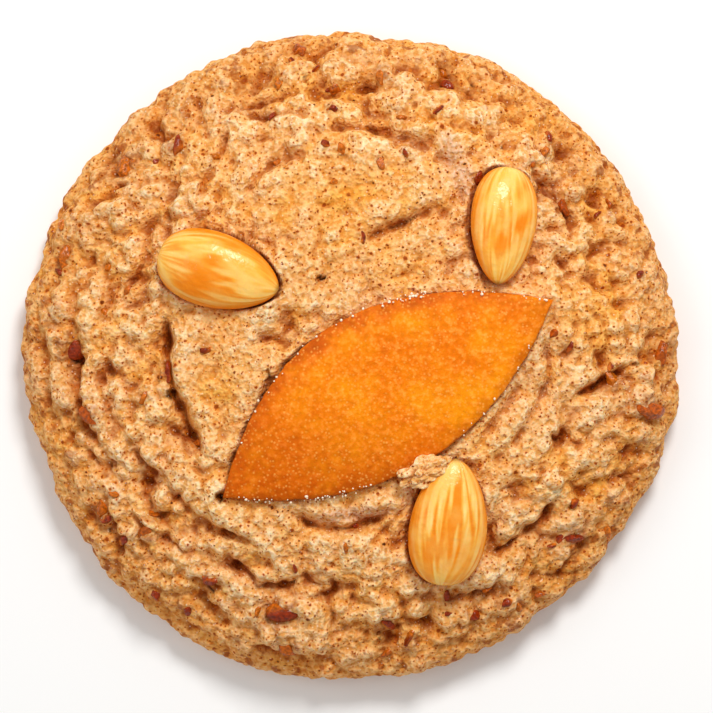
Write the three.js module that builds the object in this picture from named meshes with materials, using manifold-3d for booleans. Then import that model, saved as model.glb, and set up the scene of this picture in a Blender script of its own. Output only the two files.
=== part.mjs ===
// A lebkuchen: one thick, uneven round of spiced nut dough, with three blanched almonds and a
// leaf of candied orange pressed into its top before baking.
// Millimetres. +Z is up, and the origin is the middle of the flat underside.

import * as THREE from 'three';
import { mergeVertices } from 'three/addons/utils/BufferGeometryUtils.js';
import Module from 'manifold-3d';

const wasm = await Module();
wasm.setup();

// ---- Driving dimensions ----

// The baked round: a flattened dome over a bulging rim, on a flat underside.
const biscuitWidth = 121.6;
const biscuitDepth = 119.7;
const domeHeight = 20;
const rimHeight = 5;
const restRadius = 57.6;
const domePower = 3.2;
const shoulderPower = 1.8;
const facet = 2.05;

// The outline wanders off a true oval by these few waves.
const outlineWaves = [
  { count: 3, size: 0.32, phase: 48 },
  { count: 4, size: 0.3, phase: -30 },
  { count: 6, size: 0.31, phase: -59 },
  { count: 7, size: 0.13, phase: 45 },
];

// Relief of the crust.
const swells = [
  { size: 24, height: 1.5, seed: 1 },
  { size: 11, height: 0.9, seed: 2 },
];
const lumpSize = 6.4;
const lumpHeight = 2.8;
const lumpSpread = 0.6;
const lumpSharpness = 14;
const lumpLevel = 0.3;
const lumpStretch = 1.7;
const lumpSeed = 3;
const lumpWarp = { size: 6, height: 1.4, seed: 7 };
const ringedFrom = 140;
const ringedTo = 280;
const ridgePitch = 5.4;
const ridgeHeight = 0.35;
const wobble = { size: 9, height: 2.2, seed: 11 };

// The lower layer of dough stands out past the upper mass along the left and lower side.
const ledge = { radius: 57, from: 165, to: 350, depth: 1.2, width: 1.1 };

// Folds and cracks: arcs seen from above, each with how far it bows to its left. The dough is
// raised by "lift" on the left of the way from start to end, or on the right if it is negative.
const foldDepth = 0.95;
const foldWidth = 1.25;
const lipHeight = 0.8;
const lipReach = 2.1;
const folds = [
  { from: [-34.6, 21.0], to: [-28.6, 33.0], bow: 1.4, lift: -0.8 },
  { from: [-26.8, 28.6], to: [-22.6, 40.8], bow: 0.2, lift: -0.7 },
  { from: [-18.8, 27.7], to: [-6.0, 36.5], bow: 3.3, lift: -0.6 },
  { from: [-4.1, 43.0], to: [15.9, 38.6], bow: 0.6, lift: -0.7 },
  { from: [15.9, 38.1], to: [19.5, 28.5], bow: 1.2, lift: -0.5 },
  { from: [-11.4, 52.3], to: [6.3, 46.6], bow: -1.5, lift: 0.4 },
  { from: [-23.4, 43.7], to: [-9.7, 49.5], bow: 0.8, lift: -0.8 },
  { from: [-20.1, 44.3], to: [-5.9, 45.2], bow: 0.3, lift: 0.3 },
  { from: [2.2, 21.4], to: [14.8, 26.2], bow: -0.5, lift: 1.2 },
  { from: [-34.3, 7.9], to: [-25.8, -20.0], bow: -1.9, lift: 1.2 },
  { from: [-34.6, 21.0], to: [-40.8, 7.9], bow: -1.1, lift: 0.5 },
  { from: [-46.1, -0.3], to: [-37.7, -8.5], bow: 0.2, lift: 0.4 },
  { from: [-40.6, -16.6], to: [-17.0, -34.7], bow: -3.4, lift: 0.8 },
  { from: [-39.9, -29.5], to: [-24.5, -37.6], bow: -1.2, lift: 0.7 },
  { from: [-22.5, -37.2], to: [-3.7, -40.5], bow: -3.0, lift: 0.8 },
  { from: [-11.7, -27.5], to: [7.9, -28.1], bow: -3.4, lift: 0.9 },
  { from: [29.9, -5.4], to: [21.7, -17.7], bow: 0.5, lift: 0.6 },
  { from: [36.1, 3.5], to: [25.9, -19.8], bow: 3.1, lift: -0.7 },
  { from: [36.8, 16.6], to: [49.3, 19.2], bow: 1.2, lift: 0.9 },
  { from: [41.5, -6.3], to: [52.5, -1.6], bow: -0.9, lift: 1.1 },
  { from: [37.5, -14.1], to: [43.9, -14.6], bow: -0.9, lift: 0.7 },
  { from: [25.2, -37.2], to: [38.2, -26.2], bow: -1.6, lift: 0.8 },
  { from: [4.0, -43.9], to: [30.4, -43.0], bow: -1.6, lift: 0.6 },
  { from: [-48.1, 27.0], to: [-41.9, 32.1], bow: 0.8, lift: 0.4 },
  { from: [-50.9, 3.5], to: [-43.2, -21.7], bow: -2.1, lift: 0.8 },
  { from: [15.4, 54.5], to: [25.0, 51.2], bow: -0.7, lift: 0.4 },
  { from: [32.6, 36.1], to: [41.7, 20.6], bow: 1.4, lift: -0.9 },
  { from: [45.0, 31.5], to: [52.6, 23.2], bow: 0.4, lift: 0.4 },
];

// Patches where the dough was pressed smooth: half sizes along and across, turned from +X.
const smoothPatches = [
  { at: [-1, 31], half: [21, 9], turn: 5 },
  { at: [-24.6, -2.6], half: [8, 14], turn: 0 },
  { at: [6.8, -8], half: [38, 18], turn: 31 },
  { at: [31.7, -11.7], half: [14, 7], turn: 60 },
  { at: [3.5, 16.5], half: [18, 7], turn: 20 },
  { at: [19, 34.6], half: [8, 3], turn: 110 },
];
const lumpLossWhereSmooth = 0.8;

// The dough rounded itself at the rim, so all its relief is lower past this way along the section.
const reliefLossAtRim = 0.5;
const calmReach = [54, 62];

// Candied orange leaf: a pointed leaf cut from a sheet, between two arcs.
const leafLength = 69.8;
const leafUpperBow = 16.6;
const leafLowerBow = 13.3;
const leafThickness = 2.6;
const leafPlace = { at: [6.8, -7.9], turn: 31 };
const leafSunk = 0.9;
const leafSag = 1.8;
const leafCrown = 0.7;

// The dough is pressed flat under the leaf, and rises to its own relief just past the edge.
const pressedLevel = -0.2;
const pressReach = 3;

// Blanched almonds: heading is the way the pointed end looks, seen from above.
const almondShape = { bluntness: 0.42, pointedness: 0.6, thickness: 8.2 };
const almonds = [
  { name: 'almond_left', length: 22.8, width: 13.9, at: [-23.8, 15.2], heading: -17, roll: 4 },
  { name: 'almond_right', length: 21.6, width: 12.5, at: [27.7, 23.5], heading: -96, roll: -8 },
  { name: 'almond_lower', length: 23.4, width: 14.4, at: [17.8, -30.2], heading: 84, roll: 3 },
];
const almondRise = 0.7;

// A crumb of dough squeezed up between the leaf's lower edge and the almond's pointed end.
const crumb = { at: [13.4, -20.9], half: [4.9, 2.5, 2.3], turn: 24, rise: 1.5, seed: 31 };

// Chips of unpeeled nut: the large ones where they show, the rest drawn over the crust.
const chips = [
  { at: [-42.1, 34.9], size: 4.4 },
  { at: [-31.7, 38.7], size: 3.2 },
  { at: [-52.3, 17.9], size: 3.4 },
  { at: [-51.2, 1.5], size: 4.6 },
  { at: [-48.3, -10.7], size: 3.6 },
  { at: [-33.6, -3.1], size: 3.2 },
  { at: [-46.4, -28.6], size: 3.2 },
  { at: [-37.8, -32.5], size: 3.0 },
  { at: [-25.6, -41.1], size: 2.8 },
  { at: [-12.4, -47.0], size: 4.6 },
  { at: [-11.6, -53.9], size: 3.0 },
  { at: [6.4, -49.2], size: 3.2 },
  { at: [10.8, -52.3], size: 3.0 },
  { at: [41.5, -34.3], size: 4.0 },
  { at: [54.2, -9.7], size: 4.4 },
  { at: [57.2, 0.4], size: 4.0 },
  { at: [48.2, -4.5], size: 3.8 },
  { at: [40.2, 28.0], size: 2.8 },
  { at: [-9.8, 56.9], size: 2.8 },
  { at: [17.2, 53.4], size: 3.0 },
  { at: [23.2, 32.4], size: 2.2 },
  { at: [-2.9, 49.7], size: 2.4 },
];
const drawnChips = { count: 18, size: [1.8, 2.6], radius: [43, 58], seed: 41 };
const chipSunk = 0.1;

// Clear space between a topping and the dough around it.
const pocketGap = 0.35;

// ---- Repeatable draws and noise ----

const fullTurn = 2 * Math.PI;
const radians = THREE.MathUtils.degToRad;

// A repeatable draw from 0 to 1 for a whole-numbered place.
function draw(column, row, seed) {
  const wave = Math.sin(column * 127.1 + row * 311.7 + seed * 74.7) * 43758.5453;
  return wave - Math.floor(wave);
}

// Smooth step from 0 at `low` to 1 at `high`.
function ramp(value, low, high) {
  const share = Math.min(Math.max((value - low) / (high - low), 0), 1);
  return share * share * (3 - 2 * share);
}

// Gradient noise: hills and hollows about `size` across, roughly from -0.7 to 0.7.
function swell(x, y, size, seed) {
  const column = Math.floor(x / size);
  const row = Math.floor(y / size);
  const u = x / size - column;
  const v = y / size - row;
  const slope = (dx, dy) => {
    const angle = fullTurn * draw(column + dx, row + dy, seed);
    return Math.cos(angle) * (u - dx) + Math.sin(angle) * (v - dy);
  };
  const blendU = ramp(u, 0, 1);
  const blendV = ramp(v, 0, 1);
  const near = THREE.MathUtils.lerp(slope(0, 0), slope(1, 0), blendU);
  const far = THREE.MathUtils.lerp(slope(0, 1), slope(1, 1), blendU);
  return THREE.MathUtils.lerp(near, far, blendV);
}

// Rounded lumps packed edge to edge, with soft valleys between them. Each is a cap: its own drawn
// top less the square of the distance to its middle, in lump sizes. The height is that of the
// highest cap, made soft by a sum of powers. Lumps are drawn out around the biscuit's middle by
// `stretch`.
function cobble(x, y, size, stretch, seed) {
  const reach = Math.max(Math.hypot(x, y), size);
  const outX = x / reach;
  const outY = y / reach;
  const column = Math.floor(x / size);
  const row = Math.floor(y / size);
  let total = 0;
  for (let i = column - 2; i <= column + 2; i += 1) {
    for (let j = row - 2; j <= row + 2; j += 1) {
      const dx = i + draw(i, j, seed) - x / size;
      const dy = j + draw(i, j, seed + 1) - y / size;
      const outward = dx * outX + dy * outY;
      const around = (dy * outX - dx * outY) / stretch;
      const top = lumpSpread * draw(i, j, seed + 2);
      const away = stretch * (outward * outward + around * around);
      total += Math.exp(lumpSharpness * (top - away));
    }
  }
  return Math.log(total + 1e-9) / lumpSharpness;
}

// ---- Relief of the crust ----

// Height that one fold gives at a point: a groove along its arc and a lip on its raised side.
function foldRelief(x, y, fold) {
  const start = new THREE.Vector2(...fold.from);
  const along = new THREE.Vector2(...fold.to).sub(start);
  const chord = along.length();
  along.divideScalar(chord);
  const left = new THREE.Vector2(-along.y, along.x);
  const middle = start.addScaledVector(along, chord / 2);
  const radius = (chord * chord / 4 + fold.bow * fold.bow) / (2 * fold.bow);
  const centre = middle.clone().addScaledVector(left, fold.bow - radius);
  const point = new THREE.Vector2(x, y);
  const fromCentre = point.distanceTo(centre);
  const side = Math.sign(radius) * (fromCentre - Math.abs(radius)) * Math.sign(fold.lift);
  const onArcHalf = ramp(point.clone().sub(centre).dot(left) / radius, 0, 0.4)
    * ramp(fromCentre, 0, Math.abs(radius) / 2);
  const travelled = Math.abs(point.sub(middle).dot(along)) / (chord / 2);
  const strength = (1 - ramp(travelled, 0.7, 1.15)) * onArcHalf;
  const lift = Math.abs(fold.lift);
  const groove = -foldDepth * (0.6 + lift) * Math.exp(-((side / foldWidth) ** 2));
  const raised = Math.max(side, 0) / lipReach;
  const lowered = Math.max(-side, 0) / lipReach;
  const lip = lipHeight * lift * (raised * Math.exp(1 - raised) - 0.35 * Math.exp(-lowered));
  return strength * (groove + lip);
}

// How smoothly the dough was pressed at a point, from 0 to 1.
function smoothness(x, y) {
  let most = 0;
  for (const patch of smoothPatches) {
    const turned = new THREE.Vector2(x - patch.at[0], y - patch.at[1]);
    turned.rotateAround(new THREE.Vector2(), -radians(patch.turn));
    const reach = Math.hypot(turned.x / patch.half[0], turned.y / patch.half[1]);
    most = Math.max(most, 1 - ramp(reach, 0.75, 1.15));
  }
  return most;
}

// Half widths of the leaf to the left and right of its middle line, at a share of its half length.
function leafHalfWidths(along) {
  const open = 1 - along * along;
  return [leafUpperBow * open * (1 - 0.07 * along), leafLowerBow * open];
}

// How far the leaf presses the dough at a point, from 0 to 1.
function leafPress(x, y) {
  const local = new THREE.Vector2(x - leafPlace.at[0], y - leafPlace.at[1]);
  local.rotateAround(new THREE.Vector2(), -radians(leafPlace.turn));
  const [left, right] = leafHalfWidths(local.x / (leafLength / 2));
  const outside = Math.abs(local.y) - (local.y > 0 ? left : right);
  return 1 - ramp(outside, 0, pressReach);
}

// Share of an angle, in degrees, inside a stretch of the round, with soft ends.
function within(angle, from, to, softness) {
  const past = (angle - from + 720) % 360;
  const span = to - from;
  return ramp(past, 0, softness) * (1 - ramp(past, span - softness, span));
}

// Height of the crust over the plain round. x and y are seen from above, and reach is the way
// along the surface from the middle of the top, so that the lumps run on down the side.
function crustRelief(x, y, reach) {
  const turn = Math.atan2(y, x);
  const degrees = THREE.MathUtils.radToDeg(turn);
  const u = reach * Math.cos(turn);
  const v = reach * Math.sin(turn);
  let height = 0;
  for (const hill of swells) {
    height += hill.height * swell(u, v, hill.size, hill.seed);
  }
  const ringed = within(degrees, ringedFrom, ringedTo, 40) * ramp(reach, 30, 40);
  const stretch = 1 + (lumpStretch - 1) * ringed;
  const warpedU = u + lumpWarp.height * swell(u, v, lumpWarp.size, lumpWarp.seed);
  const warpedV = v + lumpWarp.height * swell(u, v, lumpWarp.size, lumpWarp.seed + 1);
  const lumps = cobble(warpedU, warpedV, lumpSize, stretch, lumpSeed) - lumpLevel;
  const lumpiness = 1 - lumpLossWhereSmooth * smoothness(x, y);
  height += lumpiness * lumpHeight * lumps;
  const waved = reach + 2.5 * swell(u, v, 14, 5);
  height += ringed * ridgeHeight * Math.cos(fullTurn * waved / ridgePitch);
  const wobbledX = x + wobble.height * swell(x, y, wobble.size, wobble.seed);
  const wobbledY = y + wobble.height * swell(x, y, wobble.size, wobble.seed + 1);
  for (const fold of folds) {
    height += foldRelief(wobbledX, wobbledY, fold);
  }
  return THREE.MathUtils.lerp(height, pressedLevel, leafPress(x, y));
}

// ---- The plain round ----

// Height of the plain dome at a share of the outline's radius.
function domeAt(share) {
  return rimHeight + (domeHeight - rimHeight) * (1 - share ** domePower) ** (1 / shoulderPower);
}

const meanRadius = (biscuitWidth + biscuitDepth) / 4;

// Section from the middle of the top, over the shoulder and rim, to the edge of the underside,
// as points one facet apart, each with its outward direction and its way along the section.
function spacedSection() {
  const steps = 240;
  const points = [];
  for (let i = 0; i < steps; i += 1) {
    const share = Math.sin(fullTurn / 4 * i / steps);
    points.push(new THREE.Vector2(share * meanRadius, domeAt(share)));
  }
  for (let i = 0; i <= steps / 8; i += 1) {
    const angle = fullTurn / 4 * i / (steps / 8);
    const radius = restRadius + (meanRadius - restRadius) * Math.cos(angle);
    points.push(new THREE.Vector2(radius, rimHeight * (1 - Math.sin(angle))));
  }
  const curve = new THREE.SplineCurve(points);
  curve.arcLengthDivisions = 2000;
  const count = Math.round(curve.getLength() / facet);
  return Array.from({ length: count + 1 }, (_, i) => {
    const tangent = curve.getTangentAt(i / count);
    return {
      point: curve.getPointAt(i / count),
      outward: new THREE.Vector2(-tangent.y, tangent.x),
      reach: i / count * curve.getLength(),
    };
  });
}

const section = spacedSection();

// Radius of the outline at an angle, as a share of the mean radius.
function outlineShare(turn) {
  let share = 1;
  for (const wave of outlineWaves) {
    share += wave.size / meanRadius * Math.cos(wave.count * turn - radians(wave.phase));
  }
  return share;
}

// Groove between the upper mass and the lower layer that stands out past it.
function ledgeRelief(station, turn) {
  const degrees = THREE.MathUtils.radToDeg(turn);
  const edge = ledge.radius + 1.2 * swell(30 * turn, 0, 9, 21);
  const past = (station.point.x - edge) / ledge.width;
  const upper = station.point.y > rimHeight ? 1 : 0;
  return -upper * within(degrees, ledge.from, ledge.to, 25) * ledge.depth * Math.exp(-past * past);
}

// A point of the crust, at a station of the section and an angle around the biscuit.
function crustPoint(station, turn) {
  const radius = station.point.x * outlineShare(turn);
  const x = radius * Math.cos(turn);
  const y = radius * Math.sin(turn);
  const calm = reliefLossAtRim * ramp(station.reach, ...calmReach);
  const settled = ramp(station.point.y, 0, 3) * (1 - calm);
  const relief = settled * (crustRelief(x, y, station.reach) + ledgeRelief(station, turn));
  const pushed = radius + station.outward.x * relief;
  const height = station.point.y + station.outward.y * relief;
  return new THREE.Vector3(pushed * Math.cos(turn), pushed * Math.sin(turn), height);
}

// The station of the section over a radius seen from above, on the top.
function stationOver(radius) {
  return section.find((station) => station.point.x >= radius) ?? section[0];
}

// ---- Closed meshes ----

// Joins rings of points, each around the one before it, into one closed skin. The first and the
// last ring are single points.
function skinOverRings(rings) {
  const positions = [];
  const starts = [];
  for (const ring of rings) {
    starts.push(positions.length / 3);
    ring.forEach((point) => positions.push(point.x, point.y, point.z));
  }
  const index = [];
  for (let k = 1; k < rings.length; k += 1) {
    const inner = rings[k - 1].length;
    const outer = rings[k].length;
    const innerSides = inner > 1 ? inner : 0;
    const outerSides = outer > 1 ? outer : 0;
    let i = 0;
    let j = 0;
    while (i < innerSides || j < outerSides) {
      const behind = (i + 0.5) / innerSides < (j + 0.5) / outerSides;
      const stepInner = j === outerSides || (i < innerSides && behind);
      const here = starts[k - 1] + i % inner;
      const across = starts[k] + j % outer;
      if (stepInner) {
        i += 1;
        index.push(here, across, starts[k - 1] + i % inner);
      } else {
        j += 1;
        index.push(here, across, starts[k] + j % outer);
      }
    }
  }
  const geometry = new THREE.BufferGeometry();
  geometry.setAttribute('position', new THREE.Float32BufferAttribute(positions, 3));
  geometry.setIndex(index);
  return geometry;
}

// The bare round of dough, stretched to the stated width and depth.
function doughRound() {
  const fullRing = Math.round(fullTurn * meanRadius / facet);
  const rings = section.map((station, k) => {
    const count = Math.max(Math.min(6 * k, fullRing), 1);
    return Array.from({ length: count }, (_, i) => crustPoint(station, fullTurn * i / count));
  });
  rings.push([new THREE.Vector3(0, 0, 0)]);
  const geometry = skinOverRings(rings);
  geometry.computeBoundingBox();
  const box = geometry.boundingBox;
  const middle = box.getCenter(new THREE.Vector3());
  const size = box.getSize(new THREE.Vector3());
  geometry.translate(-middle.x, -middle.y, 0);
  geometry.scale(biscuitWidth / size.x, biscuitDepth / size.y, 1);
  return geometry;
}

// Moves the points of a unit sphere by a rule, and merges them at its seam and poles.
function reshapedSphere(around, lengthwise, rule) {
  const geometry = new THREE.SphereGeometry(1, around, lengthwise);
  const position = geometry.attributes.position;
  const point = new THREE.Vector3();
  for (let i = 0; i < position.count; i += 1) {
    point.fromBufferAttribute(position, i);
    rule(point);
    position.setXYZ(i, point.x, point.y, point.z);
  }
  geometry.deleteAttribute('normal');
  geometry.deleteAttribute('uv');
  return mergeVertices(geometry, 1e-4);
}

// An almond along +X, pointed end first: round at the blunt end, drawn in to the other.
function almondGeometry(almond, growth) {
  const { bluntness, pointedness, thickness } = almondShape;
  const widest = bluntness / (bluntness + pointedness);
  return reshapedSphere(20, 14, (point) => {
    const share = (1 + point.y) / 2;
    const girth = (share / widest) ** bluntness * ((1 - share) / (1 - widest)) ** pointedness;
    const angle = Math.atan2(point.z, point.x);
    const halfWidth = (almond.width / 2 + growth) * girth;
    const halfThickness = (thickness / 2 + growth) * girth;
    const length = (almond.length + 2 * growth) * (share - 0.5);
    point.set(length, halfWidth * Math.cos(angle), halfThickness * -Math.sin(angle));
  });
}

// Puts an almond's geometry on the dome, leaning with the slope there.
function seatedAlmond(almond, growth) {
  const [x, y] = almond.at;
  const share = Math.hypot(x, y) / meanRadius;
  const slope = (domeAt(share + 0.01) - domeAt(share)) / (0.01 * meanRadius);
  const outward = new THREE.Vector3(x, y, 0).normalize();
  const up = new THREE.Vector3(-slope * outward.x, -slope * outward.y, 1).normalize();
  const lean = new THREE.Quaternion().setFromUnitVectors(new THREE.Vector3(0, 0, 1), up);
  const geometry = almondGeometry(almond, growth);
  geometry.rotateX(radians(almond.roll));
  geometry.rotateZ(radians(almond.heading));
  geometry.applyQuaternion(lean);
  geometry.translate(x, y, domeAt(share) + almondRise);
  return geometry;
}

// The leaf along +X: between a point at each end its edges follow shallow arcs, its section is a
// round-edged bar that thins out only at the very tips, and it sags over the dome and is a
// little crowned.
function leafGeometry(growth) {
  const bar = (value) => Math.sign(value) * Math.abs(value) ** 0.45;
  return reshapedSphere(18, 28, (point) => {
    const along = Math.sin(fullTurn / 4 * point.y);
    const open = Math.max(1 - along * along, 0);
    const tip = Math.min(Math.sqrt(8 * open), 1);
    const [left, right] = leafHalfWidths(along).map((width) => Math.max(width, 0) + growth * tip);
    const angle = Math.atan2(-point.z, point.x);
    const across = bar(Math.cos(angle));
    const offset = across > 0 ? across * left : across * right;
    const half = (leafThickness / 2 + growth) * tip;
    const crown = leafCrown * open * (1 - across * across);
    const height = bar(Math.sin(angle)) * half - leafSag * along * along + crown;
    point.set(along * (leafLength / 2 + growth), offset, height);
  });
}

// Puts the leaf's geometry on the dome.
function seatedLeaf(growth) {
  const [x, y] = leafPlace.at;
  const geometry = leafGeometry(growth);
  geometry.rotateZ(radians(leafPlace.turn));
  const underside = domeAt(Math.hypot(x, y) / meanRadius) - leafSunk;
  geometry.translate(x, y, underside + leafThickness / 2);
  return geometry;
}

// The crumb between leaf and almond: a ball pressed long and made lumpy.
function crumbGeometry() {
  const geometry = new THREE.IcosahedronGeometry(1, 2);
  const position = geometry.attributes.position;
  const point = new THREE.Vector3();
  for (let i = 0; i < position.count; i += 1) {
    point.fromBufferAttribute(position, i);
    point.multiplyScalar(1 + 0.45 * swell(2.3 * point.x + point.z, 1.7 * point.y, 1, crumb.seed));
    position.setXYZ(i, point.x, point.y, point.z);
  }
  geometry.scale(...crumb.half);
  geometry.rotateZ(radians(crumb.turn));
  const [x, y] = crumb.at;
  geometry.translate(x, y, domeAt(Math.hypot(x, y) / meanRadius) + crumb.rise);
  return geometry;
}

// One angular chip of nut, most of it sunk in the crust.
function chipGeometry(chip, number) {
  const geometry = new THREE.IcosahedronGeometry(chip.size / 2, 0);
  geometry.scale(1, 0.45 + 0.3 * draw(number, 1, 51), 0.5);
  geometry.rotateX(0.8 * (draw(number, 2, 51) - 0.5));
  geometry.rotateZ(fullTurn * draw(number, 3, 51));
  const [x, y] = chip.at;
  const station = stationOver(Math.hypot(x, y));
  const turn = Math.atan2(y, x);
  const place = crustPoint(station, turn);
  const axis = new THREE.Vector3(-Math.sin(turn), Math.cos(turn), 0);
  const outward = new THREE.Vector3(0, 0, 1);
  outward.applyAxisAngle(axis, Math.atan2(station.outward.x, station.outward.y));
  const lean = new THREE.Quaternion().setFromUnitVectors(new THREE.Vector3(0, 0, 1), outward);
  geometry.applyQuaternion(lean);
  place.addScaledVector(outward, -chipSunk * chip.size);
  geometry.translate(place.x, place.y, place.z);
  return geometry;
}

// All chips: the large ones first, then the drawn ones, spread evenly over the ring they fill.
function allChips() {
  const { count, size, radius, seed } = drawnChips;
  const { lerp } = THREE.MathUtils;
  const drawn = Array.from({ length: count }, (_, i) => {
    const reach = Math.sqrt(lerp(radius[0] ** 2, radius[1] ** 2, draw(i, 4, seed)));
    const turn = fullTurn * (i + draw(i, 5, seed)) / count;
    const at = [reach * Math.cos(turn), reach * Math.sin(turn)];
    return { at, size: lerp(size[0], size[1], draw(i, 6, seed)) };
  });
  return [...chips, ...drawn];
}

// ---- Joining and cutting ----

// A closed geometry as a solid that can be joined and cut.
function solidOf(source) {
  const bare = source.clone();
  bare.deleteAttribute('normal');
  bare.deleteAttribute('uv');
  const geometry = mergeVertices(bare, 1e-4);
  return new wasm.Manifold(new wasm.Mesh({
    numProp: 3,
    vertProperties: new Float32Array(geometry.attributes.position.array),
    triVerts: new Uint32Array(geometry.index.array),
  }));
}

// A solid as a geometry again.
function geometryOf(solid) {
  const mesh = solid.getMesh();
  const geometry = new THREE.BufferGeometry();
  const positions = new Float32Array(mesh.vertProperties);
  geometry.setAttribute('position', new THREE.BufferAttribute(positions, 3));
  geometry.setIndex(new THREE.BufferAttribute(new Uint32Array(mesh.triVerts), 1));
  return geometry;
}

// The dough: the round with its chips and crumb joined on, and a pocket cut for each topping.
function doughGeometry() {
  let dough = solidOf(doughRound());
  allChips().forEach((chip, number) => {
    dough = dough.add(solidOf(chipGeometry(chip, number)));
  });
  dough = dough.add(solidOf(crumbGeometry()));
  for (const almond of almonds) {
    dough = dough.subtract(solidOf(seatedAlmond(almond, pocketGap)));
  }
  dough = dough.subtract(solidOf(seatedLeaf(pocketGap)));
  const pieces = dough.decompose();
  pieces.sort((one, other) => other.volume() - one.volume());
  return geometryOf(pieces[0]);
}

// ---- The biscuit ----

function material(color, roughness) {
  return new THREE.MeshStandardMaterial({ color, roughness, metalness: 0 });
}

const bakedDough = material('#d9955a', 0.85);
const blanchedAlmond = material('#f7b95c', 0.35);
const candiedOrange = material('#f08520', 0.6);

const lebkuchen = new THREE.Group();

function addPiece(name, geometry, surface) {
  geometry.computeVertexNormals();
  const mesh = new THREE.Mesh(geometry, surface);
  mesh.name = name;
  lebkuchen.add(mesh);
}

addPiece('dough', doughGeometry(), bakedDough);
for (const almond of almonds) {
  addPiece(almond.name, seatedAlmond(almond, 0), blanchedAlmond);
}
addPiece('orange_leaf', seatedLeaf(0), candiedOrange);

export default lebkuchen;
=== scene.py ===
"""Lebkuchen: the looks of one round spiced nut biscuit with almonds and a candied orange leaf."""

import math

import bpy
import numpy as np
from bpy.props import FloatProperty, FloatVectorProperty, IntProperty, PointerProperty
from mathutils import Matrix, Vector


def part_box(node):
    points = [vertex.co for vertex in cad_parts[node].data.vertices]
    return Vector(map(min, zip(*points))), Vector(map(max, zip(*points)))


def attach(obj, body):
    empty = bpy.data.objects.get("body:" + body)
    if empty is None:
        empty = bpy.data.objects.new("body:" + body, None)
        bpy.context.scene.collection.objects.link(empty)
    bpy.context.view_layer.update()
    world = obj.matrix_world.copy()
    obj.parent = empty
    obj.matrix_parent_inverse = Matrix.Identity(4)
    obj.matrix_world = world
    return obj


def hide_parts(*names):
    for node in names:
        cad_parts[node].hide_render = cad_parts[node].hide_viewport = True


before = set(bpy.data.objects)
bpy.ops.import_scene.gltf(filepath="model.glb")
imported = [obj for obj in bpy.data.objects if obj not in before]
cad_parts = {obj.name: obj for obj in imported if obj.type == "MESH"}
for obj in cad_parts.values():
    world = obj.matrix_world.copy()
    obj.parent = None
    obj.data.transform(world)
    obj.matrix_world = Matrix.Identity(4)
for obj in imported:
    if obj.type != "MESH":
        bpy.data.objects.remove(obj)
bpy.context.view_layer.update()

bl_info = {
    "name": "Lebkuchen",
    "version": (1, 0, 0),
    "blender": (4, 5, 0),
    "location": "3D View > Sidebar > Lebkuchen",
    "description": "Builds the crust, almonds, orange leaf and stage of one lebkuchen",
    "category": "Object",
}

# ---- Sizes, in millimetres unless a name says otherwise ----
# Names that end in STEPS give the steps of a surface around and along it, and seeds pick the draw.

MM = 0.001

# The baked round: a flattened dome over a bulging rim, on a flat underside.
dough_low, dough_high = (np.array(corner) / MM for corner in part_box("dough"))
BISCUIT_WIDTH, BISCUIT_DEPTH = (dough_high - dough_low)[:2]
MEAN_RADIUS = (BISCUIT_WIDTH + BISCUIT_DEPTH) / 4
DOME_HEIGHT = 20.0
RIM_HEIGHT = 5.0
REST_RADIUS = 57.6
DOME_POWER = 3.2
SHOULDER_POWER = 1.8

# The outline wanders off a true oval by these few waves: count, size, phase in degrees.
OUTLINE_WAVES = ((3, 0.32, 48), (4, 0.30, -30), (6, 0.31, -59), (7, 0.13, 45))

# Broad swells of the crust: size across, height, seed.
SWELLS = ((24, 1.5, 1), (11, 0.9, 2))

# Packed lumps: sharpness of the valleys between them, spread and mean of their tops, and seed.
LUMP_SHARPNESS, LUMP_SPREAD, LUMP_MEAN, LUMP_SEED = 14, 0.6, 0.3, 3

# Between two angles, and beyond a way out, the lumps are drawn out around the biscuit, and ridges
# run round it.
RINGED_FROM, RINGED_TO, RINGED_SOFTNESS = 140, 280, 40
RINGED_BEYOND = (30, 40)
LUMP_STRETCH = 1.7
RIDGE_PITCH, RIDGE_HEIGHT = 5.4, 0.35
RIDGE_WAVES = ((14, 2.5, 5),)

# Shifts by which a place wanders: most, size across, and seed.
LUMP_WARP = (1.4, 6, 7)
FOLD_WARP = (2.2, 9, 11)
SMALL_LUMP_WARP = (1.1, 2.9, 61)
TINY_LUMP_WARP = (0.6, 1.4, 64)
SLIT_WARP = (1.5, 2.6, 71)
PIT_WARP = (0.9, 1.7, 75)

# Relief too small for the solid: the smallest lumps and the grain, as size, height and seed, and
# the swells that change from place to place how high lumps are and how open folds are.
TINY_LUMPS = (1.7, 1.05, 66)
GRAIN = ((1.9, 0.3, 68), (1.1, 0.15, 69))
SMALL_LUMP_SEED = 63
UNEVENNESS, OPENNESS, FILLING = (8, 67), (6, 73), (4.5, 79)
FINE_LOSS_WHERE_SMOOTH = 0.5
SLIT_DEPTH, SLIT_WIDTH, SLIT_SHIFT, FILL_HEIGHT = 1.0, 0.55, 0.1, 0.9

# The lower layer of dough stands out past the upper mass along the left and lower side.
LEDGE_RADIUS, LEDGE_FROM, LEDGE_TO = 57, 165, 350
LEDGE_DEPTH, LEDGE_WIDTH, LEDGE_SOFTNESS = 1.2, 1.1, 25
LEDGE_WAVES = ((9, 1.2, 21),)

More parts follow.
